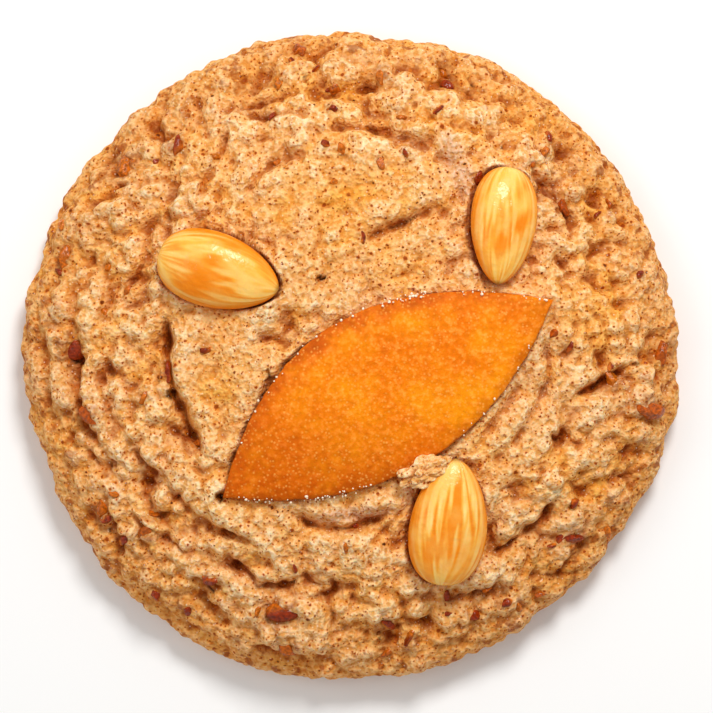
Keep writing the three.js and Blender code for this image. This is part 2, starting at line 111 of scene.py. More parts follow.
# Folds and cracks: arcs seen from above as start x, y, end x, y, bow to the left, and lift, which
# raises the left of the way from start to end, or the right if it is negative.
FOLD_DEPTH = 0.95
FOLD_WIDTH = 1.25
LIP_HEIGHT = 0.8
LIP_REACH = 2.1
FOLDS = (
    (-34.6, 21.0, -28.6, 33.0, 1.4, -0.8), (-26.8, 28.6, -22.6, 40.8, 0.2, -0.7),
    (-18.8, 27.7, -6.0, 36.5, 3.3, -0.6), (-4.1, 43.0, 15.9, 38.6, 0.6, -0.7),
    (15.9, 38.1, 19.5, 28.5, 1.2, -0.5), (-11.4, 52.3, 6.3, 46.6, -1.5, 0.4),
    (-23.4, 43.7, -9.7, 49.5, 0.8, -0.8), (-20.1, 44.3, -5.9, 45.2, 0.3, 0.3),
    (2.2, 21.4, 14.8, 26.2, -0.5, 1.2), (-34.3, 7.9, -25.8, -20.0, -1.9, 1.2),
    (-34.6, 21.0, -40.8, 7.9, -1.1, 0.5), (-46.1, -0.3, -37.7, -8.5, 0.2, 0.4),
    (-40.6, -16.6, -17.0, -34.7, -3.4, 0.8), (-39.9, -29.5, -24.5, -37.6, -1.2, 0.7),
    (-22.5, -37.2, -3.7, -40.5, -3.0, 0.8), (-11.7, -27.5, 7.9, -28.1, -3.4, 0.9),
    (29.9, -5.4, 21.7, -17.7, 0.5, 0.6), (36.1, 3.5, 25.9, -19.8, 3.1, -0.7),
    (36.8, 16.6, 49.3, 19.2, 1.2, 0.9), (41.5, -6.3, 52.5, -1.6, -0.9, 1.1),
    (37.5, -14.1, 43.9, -14.6, -0.9, 0.7), (25.2, -37.2, 38.2, -26.2, -1.6, 0.8),
    (4.0, -43.9, 30.4, -43.0, -1.6, 0.6), (-48.1, 27.0, -41.9, 32.1, 0.8, 0.4),
    (-50.9, 3.5, -43.2, -21.7, -2.1, 0.8), (15.4, 54.5, 25.0, 51.2, -0.7, 0.4),
    (32.6, 36.1, 41.7, 20.6, 1.4, -0.9), (45.0, 31.5, 52.6, 23.2, 0.4, 0.4),
)

# Single small lumps, some of them lying in a fold: x, y, reach, height.
SMALL_LUMPS = (
    (12.8, 24.6, 1.7, 1.5),
    (-17.0, 31.8, 2.4, 1.1),
    (6.4, 22.5, 0.9, 0.8),
)

# Patches where the dough was pressed smooth: middle x, y, half size along, across, turn.
SMOOTH_PATCHES = (
    (-1, 31, 21, 9, 5), (-24.6, -2.6, 8, 14, 0), (6.8, -8, 38, 18, 31), (31.7, -11.7, 14, 7, 60),
    (3.5, 16.5, 18, 7, 20), (19, 34.6, 8, 3, 110),
)
LUMP_LOSS_WHERE_SMOOTH = 0.8

# The dough rounded itself at the rim, so all its relief is lower there: share, and from where to
# where along the section.
RELIEF_LOSS_AT_RIM = 0.5
CALM_FROM, CALM_TO = 54, 62

# Where the oven toasted the dough golden: middle x, y, half size along, across, turn.
TOASTED_PATCHES = (
    (5, 28, 19, 9, -8), (-17, 27, 7, 6, 30), (-3, 48, 12, 5, 0), (18, 41, 10, 5, -20),
    (-26, -6, 6, 9, 0), (45, 8, 8, 9, 0), (42, -22, 8, 9, 30),
)

# Patches of smooth, wet dough, pale and pinkish: beside the right almond, where its sheen is
# painted into the colour, and in the crescent under the leaf, where the fold's highlight is
# painted.
SMEAR_SHEEN_PATCHES = (
    (19.5, 34.5, 9, 2.8, 112),
    (0.5, -28.8, 9.5, 1.8, 6),
)

# Candied orange leaf: a pointed leaf cut from a sheet, between two arcs.
LEAF_LENGTH = 69.8
LEAF_UPPER_BOW = 16.6
LEAF_LOWER_BOW = 13.3
LEAF_THICKNESS = 2.6
LEAF_X, LEAF_Y, LEAF_TURN = 6.8, -7.9, 31
LEAF_SUNK = 0.9
LEAF_SAG = 1.8
LEAF_CROWN = 0.7
LEAF_SQUARENESS = 0.45
LEAF_STEPS = (140, 260)
# Its ragged edge, and how unevenly its edge and face browned: size across, height, seed.
LEAF_RAGGED = ((1.3, 0.3, 99), (0.5, 0.2, 90))
LEAF_WORN = ((4, 1.1, 97), (1.7, 0.6, 98))
# The dough was pressed flat under the leaf: its relief there, and how far out it rises again.
PRESSED_LEVEL = -0.2
PRESS_REACH = 3

# Blanched almonds: node, length, width, x, y, heading and roll in degrees.
ALMONDS = (
    ("almond_left", 22.8, 13.9, -23.8, 15.2, -17, 4),
    ("almond_right", 21.6, 12.5, 27.7, 23.5, -96, -8),
    ("almond_lower", 23.4, 14.4, 17.8, -30.2, 84, 3),
)
ALMOND_THICKNESS = 8.2
ALMOND_BLUNTNESS = 0.42
ALMOND_POINTEDNESS = 0.6
ALMOND_RISE = 0.7
ALMOND_STEPS = (200, 130)
# Fibres along an almond: how many sizes of swell go round it for broad and fine ones, and seed.
BROAD_FIBRES, FINE_FIBRES, FIBRE_SIZE, FIBRE_SEED = 8, 22, 1.9, 91
# Where each almond baked honey-brown: x and y from its middle, and size.
HONEY_PATCHES = {
    "almond_left": (-2.8, -3.6, 8.0),
    "almond_right": (0.6, -1.5, 4.5),
    "almond_lower": (0.5, -5.0, 6.0),
}

# Crumb of dough between the leaf and the lower almond: x, y, half sizes, turn, rise, seed.
CRUMB_X, CRUMB_Y = 13.4, -20.9
CRUMB_HALF = (4.9, 2.5, 2.3)
CRUMB_TURN, CRUMB_RISE, CRUMB_SEED = 24, 1.5, 31
CRUMB_STEPS = (120, 80)

# Chips of unpeeled nut where they show: x, y, size.
CHIPS = (
    (-42.1, 34.9, 4.4), (-31.7, 38.7, 3.2), (-52.3, 17.9, 3.4), (-51.2, 1.5, 4.6),
    (-48.3, -10.7, 3.6), (-33.6, -3.1, 3.2), (-46.4, -28.6, 3.2), (-37.8, -32.5, 3.0),
    (-25.6, -41.1, 2.8), (-12.4, -47.0, 4.6), (-11.6, -53.9, 3.0), (6.4, -49.2, 3.2),
    (10.8, -52.3, 3.0), (41.5, -34.3, 4.0), (54.2, -9.7, 4.4), (57.2, 0.4, 4.0), (48.2, -4.5, 3.8),
    (40.2, 28.0, 2.8), (-9.8, 56.9, 2.8), (17.2, 53.4, 3.0), (23.2, 32.4, 2.2), (-2.9, 49.7, 2.4),
)
# Further, smaller bits of nut: x, y, size.
BITS = (
    (-25.0, 36.3, 2.2), (-9.5, 56.6, 2.4), (-3.7, 49.5, 2.0), (-13.0, 50.3, 2.6), (-3.4, 45.2, 2.0),
    (5.7, 51.5, 2.8), (18.1, 50.6, 2.6), (-14.3, 43.7, 2.2), (-13.4, 35.5, 2.4), (-1.7, 37.7, 2.2),
    (-4.5, 38.3, 1.8), (9.4, 43.7, 2.0), (5.5, 35.2, 2.4), (-3.0, 31.5, 1.8), (10.1, 37.0, 1.8),
    (35.7, 37.4, 2.4), (33.4, 35.2, 1.8), (39.9, 28.3, 2.6), (48.6, 28.3, 2.4), (34.5, 29.4, 1.8),
    (-44.5, 16.1, 2.0), (-40.6, 11.9, 2.0), (-45.2, 7.9, 2.2), (-38.1, -7.7, 2.6),
    (-28.1, -16.1, 2.2), (-26.6, 1.0, 2.4), (2.2, 21.5, 2.2), (49.4, 9.5, 2.2), (39.9, 1.7, 2.4),
    (36.6, 3.7, 2.2), (-45.4, -30.5, 2.2), (-37.2, -29.5, 2.6), (-43.7, -25.7, 2.2),
    (-36.1, -44.3, 2.6), (-30.3, -47.4, 2.4), (-10.1, -38.8, 2.0), (1.0, -31.0, 2.0),
    (-0.8, -34.6, 1.8), (17.7, -44.6, 2.4), (23.0, -48.5, 2.6), (38.1, -35.9, 2.0),
    (35.9, -45.0, 2.2), (48.1, -33.2, 2.4), (29.0, -45.9, 2.2), (25.2, -43.4, 2.0),
)

# Open holes in the crust, narrower outwards than around: x, y, size across.
PIT_SHARE, PIT_OUTWARD, PIT_AROUND = 0.4, 1.5, 0.8
PITS = (
    (-5.2, 14.1, 1.6), (-15.0, -3.0, 1.2), (-32.6, -7.2, 2.0), (-50.1, -1.2, 1.6),
    (-51.0, -4.1, 1.2), (-43.9, -32.3, 1.3), (-25.4, -42.8, 1.6), (5.0, -51.9, 1.3),
    (-43.7, -19.9, 1.3), (-23.7, -25.9, 2.4), (-39.5, 2.9, 1.0), (-8.3, 50.9, 1.1),
    (-42.9, 20.2, 1.0), (22.4, 49.5, 1.2), (-24.3, -17.4, 1.2), (52.6, -1.6, 1.1),
)

# Chips drawn at random: number, size, distance from the middle, seed.
DRAWN_CHIPS = 18
DRAWN_CHIP_SIZE = (1.8, 2.6)
DRAWN_CHIP_RING = (43, 58)
DRAWN_CHIP_SEED = 41

# Form of each chip: a ball cut by flat facets. Scale of the placed chips and of the others, depth
# in the crust in shares of the size, facets, their sharpness, and steps around and along.
CHIP_SCALE, BIT_SCALE = 1.35, 1.1
CHIP_SUNK = 0.08
CHIP_FACETS, CHIP_SHARPNESS = 8, 40
CHIP_STEPS = (26, 17)

# Coarse sugar along the leaf's edges: from, to along its half length, side, and number of grains.
SUGAR_RUNS = (
    (0.22, 0.46, 1, 34), (-0.93, -0.30, -1, 44), (-0.80, 0.15, 1, 16), (0.60, 0.97, 1, 16),
    (0.20, 0.96, -1, 12),
)
SUGAR_SIZE = (0.25, 0.6)
SUGAR_SEED = 111
SUGAR_STEPS = (6, 4)

# Clear space between a topping and the dough under it, and how much deeper an almond's pocket is.
POCKET_GAP = 0.35
POCKET_DEPTH = 0.9

# Where the dough stands open: past the leaf's upper left edge, and towards one side of each almond,
# in degrees seen from above. The moat round an almond has a width everywhere, more on that side,
# and waves; the painted shadow in it has further waves.
LEAF_GAP = 1.1
LEAF_GAP_WAVES = ((3, 1.6, 78),)
OPEN_SIDES = {"almond_left": 25, "almond_right": 172, "almond_lower": 195}
MOAT_WIDTH, MOAT_OPENING = 0.1, 0.3
MOAT_WAVES, SHADOW_WAVES = ((3, 0.7, 71),), ((1.5, 1.1, 74),)

# Stage: floor, lights as name, place in metres, size in metres and share of the key light's power,
# and the widths, in pixels, of the picture and of the biscuit in it.
FLOOR_HALF = 3000
LIGHTS = (
    ("key_light", (0.13, 0.43, 0.55), 0.22, 1.0),
    ("side_light", (-0.5, 0.1, 0.6), 0.5, 0.25),
)
PICTURE_WIDTH, PICTURED_BISCUIT = 713, 659
CAMERA_X, CAMERA_Y = 1.1, -0.2

# ---- Colours ----


def linear(code):
    """Turns an sRGB hex colour such as "#D9955A" into linear red, green and blue."""
    share = np.array([int(code[i:i + 2], 16) for i in (1, 3, 5)]) / 255
    low, high = share / 12.92, ((share + 0.055) / 1.055) ** 2.4
    return tuple(float(value) for value in np.where(share <= 0.04045, low, high))


def colour_property(name, description, code):
    """A colour that a user may change, with its default given as sRGB hex."""
    return FloatVectorProperty(
        name=name, description=description, subtype="COLOR", default=linear(code), min=0, max=1)


def length_property(name, description, millimetres):
    """A length that a user may change, with its default given in millimetres."""
    return FloatProperty(
        name=name, description=description, default=millimetres * MM, min=0,
        subtype="DISTANCE", unit="LENGTH", precision=5)


# ---- Noise and shapes worked out as whole arrays ----


def draw(column, row, seed):
    """A repeatable draw from 0 to 1 for each whole-numbered place: the fraction of a large sine."""
    wave = np.sin(column * 127.1 + row * 311.7 + seed * 74.7) * 43758.5453
    return wave - np.floor(wave)


def ramp(value, low, high):
    """Smooth step from 0 at low to 1 at high."""
    share = np.clip((value - low) / (high - low), 0, 1)
    return share * share * (3 - 2 * share)


def swell(x, y, size, seed):
    """Gradient noise: hills and hollows about size across, roughly from -0.7 to 0.7."""
    column, row = np.floor(x / size), np.floor(y / size)
    u, v = x / size - column, y / size - row

    def slope(dx, dy):
        angle = math.tau * draw(column + dx, row + dy, seed)
        return np.cos(angle) * (u - dx) + np.sin(angle) * (v - dy)

    blend_u, blend_v = ramp(u, 0, 1), ramp(v, 0, 1)
    near = slope(0, 0) + (slope(1, 0) - slope(0, 0)) * blend_u
    far = slope(0, 1) + (slope(1, 1) - slope(0, 1)) * blend_u
    return near + (far - near) * blend_v


def swells(x, y, layers):
    """Sum of swells, each given as size across, height and seed."""
    return sum(height * swell(x, y, size, seed) for size, height, seed in layers)


def warped(x, y, most, size, seed):
    """A place shifted by two swells of that height and size."""
    return (x, y) + most * np.stack([swell(x, y, size, seed), swell(x, y, size, seed + 1)])


def cobble(x, y, size, stretch, seed, warp=(0, 1, 0)):
    """Rounded lumps packed edge to edge, with soft valleys between them, about 0 on average.

    Each lump is a cap: its own drawn top less the square of the distance to its middle, in lump
    sizes. The height is the highest cap's, made soft as the logarithm of a sum of powers over the
    lumps around. Lumps are drawn out around the biscuit's middle by stretch, on a warped place."""
    x, y = warped(x, y, *warp)
    reach = np.maximum(np.hypot(x, y), size)
    out_x, out_y = x / reach, y / reach
    column, row = np.floor(x / size), np.floor(y / size)
    total = np.zeros(np.shape(x))
    for step_x in range(-2, 3):
        for step_y in range(-2, 3):
            i, j = column + step_x, row + step_y
            dx = i + draw(i, j, seed) - x / size
            dy = j + draw(i, j, seed + 1) - y / size
            outward = dx * out_x + dy * out_y
            around = (dy * out_x - dx * out_y) / stretch
            top = LUMP_SPREAD * draw(i, j, seed + 2)
            away = stretch * (outward ** 2 + around ** 2)
            total = total + np.exp(LUMP_SHARPNESS * (top - away))
    return np.log(total + 1e-9) / LUMP_SHARPNESS - LUMP_MEAN


def blurred(field, reach):
    """A field on a grid, averaged three times over a square of reach steps to each side."""
    span = 2 * reach + 1
    for _ in range(3):
        for axis in (0, 1):
            padding = [(0, 0), (0, 0)]
            padding[axis] = (reach + 1, reach)
            total = np.cumsum(np.pad(field, padding, mode="edge"), axis=axis)
            upper = np.take(total, range(span, total.shape[axis]), axis=axis)
            lower = np.take(total, range(0, total.shape[axis] - span), axis=axis)
            field = (upper - lower) / span
    return field


def wrapped_square(count):
    """A square grid of count by count cells wrapped into a disc.

    Each square ring about the middle becomes a circle: the way from the middle to the edge is the
    larger of the two coordinates, and the angle runs evenly along each of its four sides. Gives
    that way (0 to 1), the angle, the cells, and the points around the edge."""
    side = np.linspace(-1, 1, count + 1)
    u, v = np.meshgrid(side, side)
    way = np.maximum(np.abs(u), np.abs(v))
    wide = np.abs(u) >= np.abs(v)
    bottom = np.where(way == 0, 1, np.where(wide, u, v))
    turn = np.where(wide, math.pi / 4 * v / bottom, math.pi / 2 - math.pi / 4 * u / bottom)
    turn = turn + np.where(bottom < 0, math.pi, 0)
    number = np.arange((count + 1) ** 2).reshape(count + 1, count + 1)
    cells = np.stack([number[:-1, :-1], number[:-1, 1:], number[1:, 1:], number[1:, :-1]], axis=-1)
    edge = np.concatenate([number[0, :-1], number[:-1, -1], number[-1, :0:-1], number[:0:-1, 0]])
    return way, turn, cells.reshape(-1, 4), edge


def ball_grid(around, lengthwise):
    """Angles of a closed ball: the way from pole to pole (0 to pi), the angle round it, its faces.

    The poles are single points, and every other ring has one point for each step around."""
    polar = np.linspace(0, math.pi, lengthwise + 1)[1:-1]
    azimuth = np.arange(around) * math.tau / around
    ring_polar, ring_azimuth = np.meshgrid(polar, azimuth, indexing="ij")
    way = np.concatenate([[0], ring_polar.ravel(), [math.pi]])
    turn = np.concatenate([[0], ring_azimuth.ravel(), [0]])
    number = 1 + np.arange(len(polar) * around).reshape(len(polar), around)
    beside = np.roll(number, -1, axis=1)
    sides = np.stack([number[:-1], number[1:], beside[1:], beside[:-1]], axis=-1).reshape(-1, 4)
    first = np.stack([np.zeros(around, int), number[0], beside[0]], axis=-1)
    last = np.stack([number[-1], np.full(around, len(way) - 1), beside[-1]], axis=-1)
    return way, turn, (sides, first, last)


def ball_points(way, turn):
    """Points of a ball of radius 1: across, across and up, from angles as ball_grid gives them."""
    return np.sin(way) * np.cos(turn), np.sin(way) * np.sin(turn), np.cos(way) + 0 * turn


def repeated(faces, points_each, count):
    """Faces of count meshes alike, whose points follow each other."""
    step = (np.arange(count) * points_each)[:, None, None]
    return [(group[None] + step).reshape(-1, group.shape[1]) for group in faces]


def spun(x, y, angle):
    """Turns points about the origin, counterclockwise, by an angle in radians."""
    return x * np.cos(angle) - y * np.sin(angle), x * np.sin(angle) + y * np.cos(angle)


def turned(x, y, degrees):
    """Turns points about the origin, counterclockwise, by an angle in degrees."""
    return spun(x, y, math.radians(degrees))


# ---- The crust's form ----


def dome_at(share):
    """Height of the plain dome at a share of the outline's radius: a flattened dome curve."""
    rise = (1 - np.clip(share, 0, 1) ** DOME_POWER) ** (1 / SHOULDER_POWER)
    return RIM_HEIGHT + (DOME_HEIGHT - RIM_HEIGHT) * rise


def dome_over(x, y):
    """Height of the plain dome over a place seen from above."""
    return dome_at(math.hypot(x, y) / MEAN_RADIUS)


def section_curve():
    """Section from the top's middle over the shoulder and rim to the underside's edge.

    Gives radius, height and the way along it: the dome's curve, then a quarter of an ellipse."""
    share = np.sin(np.linspace(0, math.pi / 2, 241)[:-1])
    angle = np.linspace(0, math.pi / 2, 31)
    radius = np.concatenate([
        share * MEAN_RADIUS,
        REST_RADIUS + (MEAN_RADIUS - REST_RADIUS) * np.cos(angle)])
    height = np.concatenate([dome_at(share), RIM_HEIGHT * (1 - np.sin(angle))])
    way = np.concatenate([[0], np.cumsum(np.hypot(np.diff(radius), np.diff(height)))])
    return radius, height, way


SECTION_RADIUS, SECTION_HEIGHT, SECTION_WAY = section_curve()
SECTION_LENGTH = SECTION_WAY[-1]


def fold_side(x, y, fold):
    """Way from a fold's arc, positive on its raised side, and the fold's strength, 0 past its ends.

    The arc is part of a circle through both ends, with the bow to the left of the way. The far
    half of that circle has no strength."""
    start_x, start_y, end_x, end_y, bow, lift = fold
    chord = math.hypot(end_x - start_x, end_y - start_y)
    along_x, along_y = (end_x - start_x) / chord, (end_y - start_y) / chord
    radius = (chord ** 2 / 4 + bow ** 2) / (2 * bow)
    middle_x, middle_y = (start_x + end_x) / 2, (start_y + end_y) / 2
    centre_x = middle_x - along_y * (bow - radius)
    centre_y = middle_y + along_x * (bow - radius)
    side = math.copysign(1, radius) * (np.hypot(x - centre_x, y - centre_y) - abs(radius))
    travelled = np.abs((x - middle_x) * along_x + (y - middle_y) * along_y) / (chord / 2)
    near_half = ramp(abs(radius) + side * math.copysign(1, radius), 0, abs(radius) / 2)
    outward = ((x - centre_x) * -along_y + (y - centre_y) * along_x) / radius
    strength = (1 - ramp(travelled, 0.7, 1.15)) * near_half * ramp(outward, 0, 0.4)
    return side * math.copysign(1, lift), strength


def fold_relief(x, y, fold):
    """Height that one fold gives: a groove along its arc and a lip on its raised side."""
    side, strength = fold_side(x, y, fold)
    lift = abs(fold[5])
    groove = -FOLD_DEPTH * (0.6 + lift) * np.exp(-(side / FOLD_WIDTH) ** 2)
    raised, lowered = np.maximum(side, 0) / LIP_REACH, np.maximum(-side, 0) / LIP_REACH
    lip = LIP_HEIGHT * lift * (raised * np.exp(1 - raised) - 0.35 * np.exp(-lowered))
    return strength * (groove + lip)


def patched(x, y, patches, inner, outer):
    """Share from 0 to 1 by which a point lies in any of some soft-edged ellipses."""
    most = np.zeros(np.shape(x))
    for middle_x, middle_y, half_along, half_across, turn in patches:
        along, across = turned(x - middle_x, y - middle_y, -turn)
        reach = np.hypot(along / half_along, across / half_across)
        most = np.maximum(most, 1 - ramp(reach, inner, outer))
    return most


def smoothness(x, y):
    """How smoothly the dough was pressed at a point, from 0 to 1."""
    return patched(x, y, SMOOTH_PATCHES, 0.75, 1.15)


def leaf_half_widths(along):
    """Half widths of the leaf to the left and right of its middle line."""
    open_share = 1 - along * along
    return LEAF_UPPER_BOW * open_share * (1 - 0.07 * along), LEAF_LOWER_BOW * open_share


def leaf_frame(x, y):
    """A point in the leaf's frame: share of the half length, across, and way outside its edge."""
    length, across = turned(x - LEAF_X, y - LEAF_Y, -LEAF_TURN)
    along = length / (LEAF_LENGTH / 2)
    left, right = leaf_half_widths(along)
    return along, across, np.abs(across) - np.where(across > 0, left, right)


def within(angle, start, end, softness):
    """Share of an angle, in degrees, inside a stretch of the round, with soft ends."""
    past = (angle - start + 720) % 360
    return ramp(past, 0, softness) * (1 - ramp(past, end - start - softness, end - start))


def crust_relief(x, y, reach, lump_size, lump_height):
    """Main relief of the crust over the plain round, the same as the solid's.

    Broad swells, packed lumps drawn out into ridges on the left and lower side, and folds. x and y
    are seen from above; reach is the way along the surface, so the lumps run on down the side."""
    turn = np.arctan2(y, x)
    u, v = reach * np.cos(turn), reach * np.sin(turn)
    height = swells(u, v, SWELLS)
    ringed = within(np.degrees(turn), RINGED_FROM, RINGED_TO, RINGED_SOFTNESS)
    ringed = ringed * ramp(reach, *RINGED_BEYOND)
    stretch = 1 + (LUMP_STRETCH - 1) * ringed
    lumpiness = 1 - LUMP_LOSS_WHERE_SMOOTH * smoothness(x, y)
    lumps = cobble(u, v, lump_size, stretch, LUMP_SEED, LUMP_WARP)
    height = height + lumpiness * lump_height * lumps
    waved = reach + swells(u, v, RIDGE_WAVES)
    height = height + ringed * RIDGE_HEIGHT * np.cos(math.tau * waved / RIDGE_PITCH)
    wobbled_x, wobbled_y = warped(x, y, *FOLD_WARP)
    height = height + sum(fold_relief(wobbled_x, wobbled_y, fold) for fold in FOLDS)
    press = 1 - ramp(leaf_frame(x, y)[2], 0, PRESS_REACH)
    return height + (PRESSED_LEVEL - height) * press


def ledge_relief(radius, height, turn):
    """Groove between the upper mass and the lower layer that stands out past it."""
    edge = LEDGE_RADIUS + swells(30 * turn, 0 * turn, LEDGE_WAVES)
    past = (radius - edge) / LEDGE_WIDTH
    share = within(np.degrees(turn), LEDGE_FROM, LEDGE_TO, LEDGE_SOFTNESS)
    return -share * (height > RIM_HEIGHT) * LEDGE_DEPTH * np.exp(-past * past)


def fine_relief(x, y, reach, dough):
    """Small relief that the solid leaves out: smaller lumps, grain, and ragged slits in the folds.

    Two sizes of packed lumps on warped places, plus swells, all lower where the dough is smooth;
    along each fold, a narrow valley, and dough that fills it here and there, both as bells across
    its arc; and bells for single lumps."""
    turn = np.arctan2(y, x)
    u, v = reach * np.cos(turn), reach * np.sin(turn)
    rough = 1 - FINE_LOSS_WHERE_SMOOTH * smoothness(x, y)
    uneven = 0.5 + 0.8 * ramp(swell(u, v, *UNEVENNESS), -0.45, 0.45)
    small = dough.small_lump_height / MM * cobble(
        u, v, dough.small_lump_size / MM, 1, SMALL_LUMP_SEED, SMALL_LUMP_WARP)
    size, rise, seed = TINY_LUMPS
    tiny = rise * cobble(u, v, size, 1, seed, TINY_LUMP_WARP)
    height = rough * (uneven * small + tiny + swells(u, v, GRAIN))
    ragged_x, ragged_y = warped(x, y, *FOLD_WARP) + warped(x, y, *SLIT_WARP) - (x, y)
    open_share = SLIT_DEPTH * ramp(swell(x, y, *OPENNESS), -0.4, 0.25)
    filled = FILL_HEIGHT * ramp(swell(x, y, *FILLING), -0.3, 0.35)
    for fold in FOLDS:
        side, strength = fold_side(ragged_x, ragged_y, fold)
        height = height + filled * strength * np.exp(-(side / FOLD_WIDTH) ** 2)
        slit = (side + SLIT_SHIFT) / SLIT_WIDTH
        height = height - open_share * strength * np.exp(-slit ** 2)
    for lump_x, lump_y, lump_reach, rise in SMALL_LUMPS:
        away = np.hypot(ragged_x - lump_x, ragged_y - lump_y) / lump_reach
        height = height + rise * np.exp(-away ** 2)
    return height


def pits(x, y):
    """Depth of the holes in the crust, 0 outside them.

    A bell about each hole's middle, drawn out along the folds, which run round the biscuit."""
    depth = np.zeros(np.shape(x))
    x, y = warped(x, y, *PIT_WARP)
    for pit_x, pit_y, size in PITS:
        far = math.hypot(pit_x, pit_y)
        outward = ((x - pit_x) * pit_x + (y - pit_y) * pit_y) / far
        around = ((y - pit_y) * pit_x - (x - pit_x) * pit_y) / far
        way = np.hypot(PIT_OUTWARD * outward, PIT_AROUND * around) / (PIT_SHARE * size)
        depth = np.maximum(depth, size * np.exp(-way ** 4))
    return depth


def crust_surface(reach, turn, dough):
    """Points of the crust at a way along its section and an angle around it, with their relief.

    The plain round is pushed along its outward direction by the relief, which dies out towards
    the underside, and the outline follows a few waves."""
    radius, height, slope_r, slope_z = (
        np.interp(reach, SECTION_WAY, curve) for curve in (
            SECTION_RADIUS, SECTION_HEIGHT, np.gradient(SECTION_RADIUS, SECTION_WAY),
            np.gradient(SECTION_HEIGHT, SECTION_WAY)))
    ledge = ledge_relief(radius, height, turn)
    share = 1 + sum(size / MEAN_RADIUS * np.cos(count * turn - math.radians(phase))
                    for count, size, phase in OUTLINE_WAVES)
    radius = radius * share
    x, y = radius * np.cos(turn), radius * np.sin(turn)
    main = crust_relief(x, y, reach, dough.lump_size / MM, dough.lump_height / MM) + ledge
    fine = fine_relief(x, y, reach, dough) - pits(x, y) * (height > RIM_HEIGHT)
    relief = (1 - RELIEF_LOSS_AT_RIM * ramp(reach, CALM_FROM, CALM_TO)) * (main + fine)
    relief = ramp(height, 0, 3) * relief
    pushed = radius - slope_z * relief
    outward = np.stack([-slope_z * np.cos(turn), -slope_z * np.sin(turn), slope_r], axis=-1)
    points = np.stack(
        [pushed * np.cos(turn), pushed * np.sin(turn), height + slope_r * relief], axis=-1)
    return points, outward, relief


def reach_over(radius):
    """Way along the section at which the top reaches a radius seen from above."""
    top = SECTION_HEIGHT >= RIM_HEIGHT
    return np.interp(radius, SECTION_RADIUS[top], SECTION_WAY[top])


def almond_lean(x, y):
    """The almond's up direction, square to the plain dome, and its middle's height."""
    out, step = math.hypot(x, y), 0.01
    slope = (dome_at(out / MEAN_RADIUS + step) - dome_over(x, y)) / (step * MEAN_RADIUS)
    up = Vector((-slope * x / out, -slope * y / out, 1)).normalized()
    return Vector((0, 0, 1)).rotation_difference(up), dome_over(x, y) + ALMOND_RISE


def almond_frame(points, almond):
    """Points in an almond's own frame: along towards its tip, across, and up."""
    _, _, _, x, y, heading, roll = almond
    lean, middle = almond_lean(x, y)
    back = np.array(lean.to_matrix())
    local = (points - np.array([x, y, middle])) @ back
    along, across = turned(local[..., 0], local[..., 1], -heading)
    across, up = turned(across, local[..., 2], -roll)
    return along, across, up


def almond_girth(share):
    """Width of an almond at a share of the way to its tip: a power law from each end."""
    widest = ALMOND_BLUNTNESS / (ALMOND_BLUNTNESS + ALMOND_POINTEDNESS)
    share = np.clip(share, 0, 1)
    blunt = (share / widest) ** ALMOND_BLUNTNESS
    return blunt * ((1 - share) / (1 - widest)) ** ALMOND_POINTEDNESS


def press_pockets(points):
    """Lowers the crust under and close around the toppings, so that each lies in its pocket.

    Gives the lowered points, and how far into an open gap each point lies, from 0 to 1: the share
    of painted shadow in that gap."""
    x, y, z = points[..., 0], points[..., 1], points[..., 2].copy()
    along, across, outside = leaf_frame(x, y)
    left, right = leaf_half_widths(along)
    side = np.clip(across / np.where(across > 0, left, right).clip(0.1), -1, 1)
    open_share = np.clip(1 - along * along, 0, 1)
    under = dome_over(LEAF_X, LEAF_Y) - LEAF_SUNK - LEAF_SAG * along ** 2
    under = under + LEAF_CROWN * open_share * (1 - side * side)
    bed = under - POCKET_GAP
    gap = LEAF_GAP * ramp(-along, 0.0, 0.5) * (across > 0) * (0.8 + swells(x, y, LEAF_GAP_WAVES))
    hold = 1 - ramp(outside - gap, -0.5, 0.1)
    z = np.where(z > bed, z + (bed - z) * hold, z)
    # Painted shadow in the gap past the leaf's upper left edge.
    shadow = hold * ramp(gap, 0.2, 0.7)
    for almond in ALMONDS:
        node, length, width, almond_x, almond_y = almond[:5]
        near, across, up = almond_frame(np.stack([x, y, z], axis=-1), almond)
        girth = almond_girth((near / length + 0.5) * 0.96 + 0.02)
        outside = np.where(np.abs(near) < length / 2 + 2, np.abs(across) - width / 2 * girth, 9)
        outside = np.maximum(outside, np.abs(near) - length / 2)
        facing = np.cos(np.arctan2(y - almond_y, x - almond_x) - math.radians(OPEN_SIDES[node]))
        moat_width = MOAT_WIDTH + MOAT_OPENING * np.maximum(facing, 0) ** 2
        moat_width = moat_width + swells(x, y, MOAT_WAVES)
        moat = 1 - ramp(outside, 0.0, np.maximum(moat_width, 0.2))
        round_share = np.clip(1 - (across / np.maximum(width / 2 * girth, 0.1)) ** 2, 0, 1)
        bed = -ALMOND_THICKNESS / 2 * girth * np.sqrt(round_share) - POCKET_GAP - POCKET_DEPTH
        z = np.where(up > bed, z + (bed - up) * moat, z)
        # Painted shadow in the moat, towards its open side.
        shadow_width = moat_width + swells(x, y, SHADOW_WAVES)
        near_gap = 1 - ramp(outside, 0.1, np.maximum(shadow_width, 0.25))
        shadow = np.maximum(shadow, near_gap * ramp(facing, -0.4, 0.6))
    return np.stack([x, y, z], axis=-1), shadow


def fitted(points, node):
    """Points stretched a little along each axis to fill the box of the solid they replace."""
    low, high = (np.array(corner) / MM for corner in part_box(node))
    least, most = points.min(axis=0), points.max(axis=0)
    return low + (points - least) * (high - low) / (most - least)


# ---- Making pieces ----


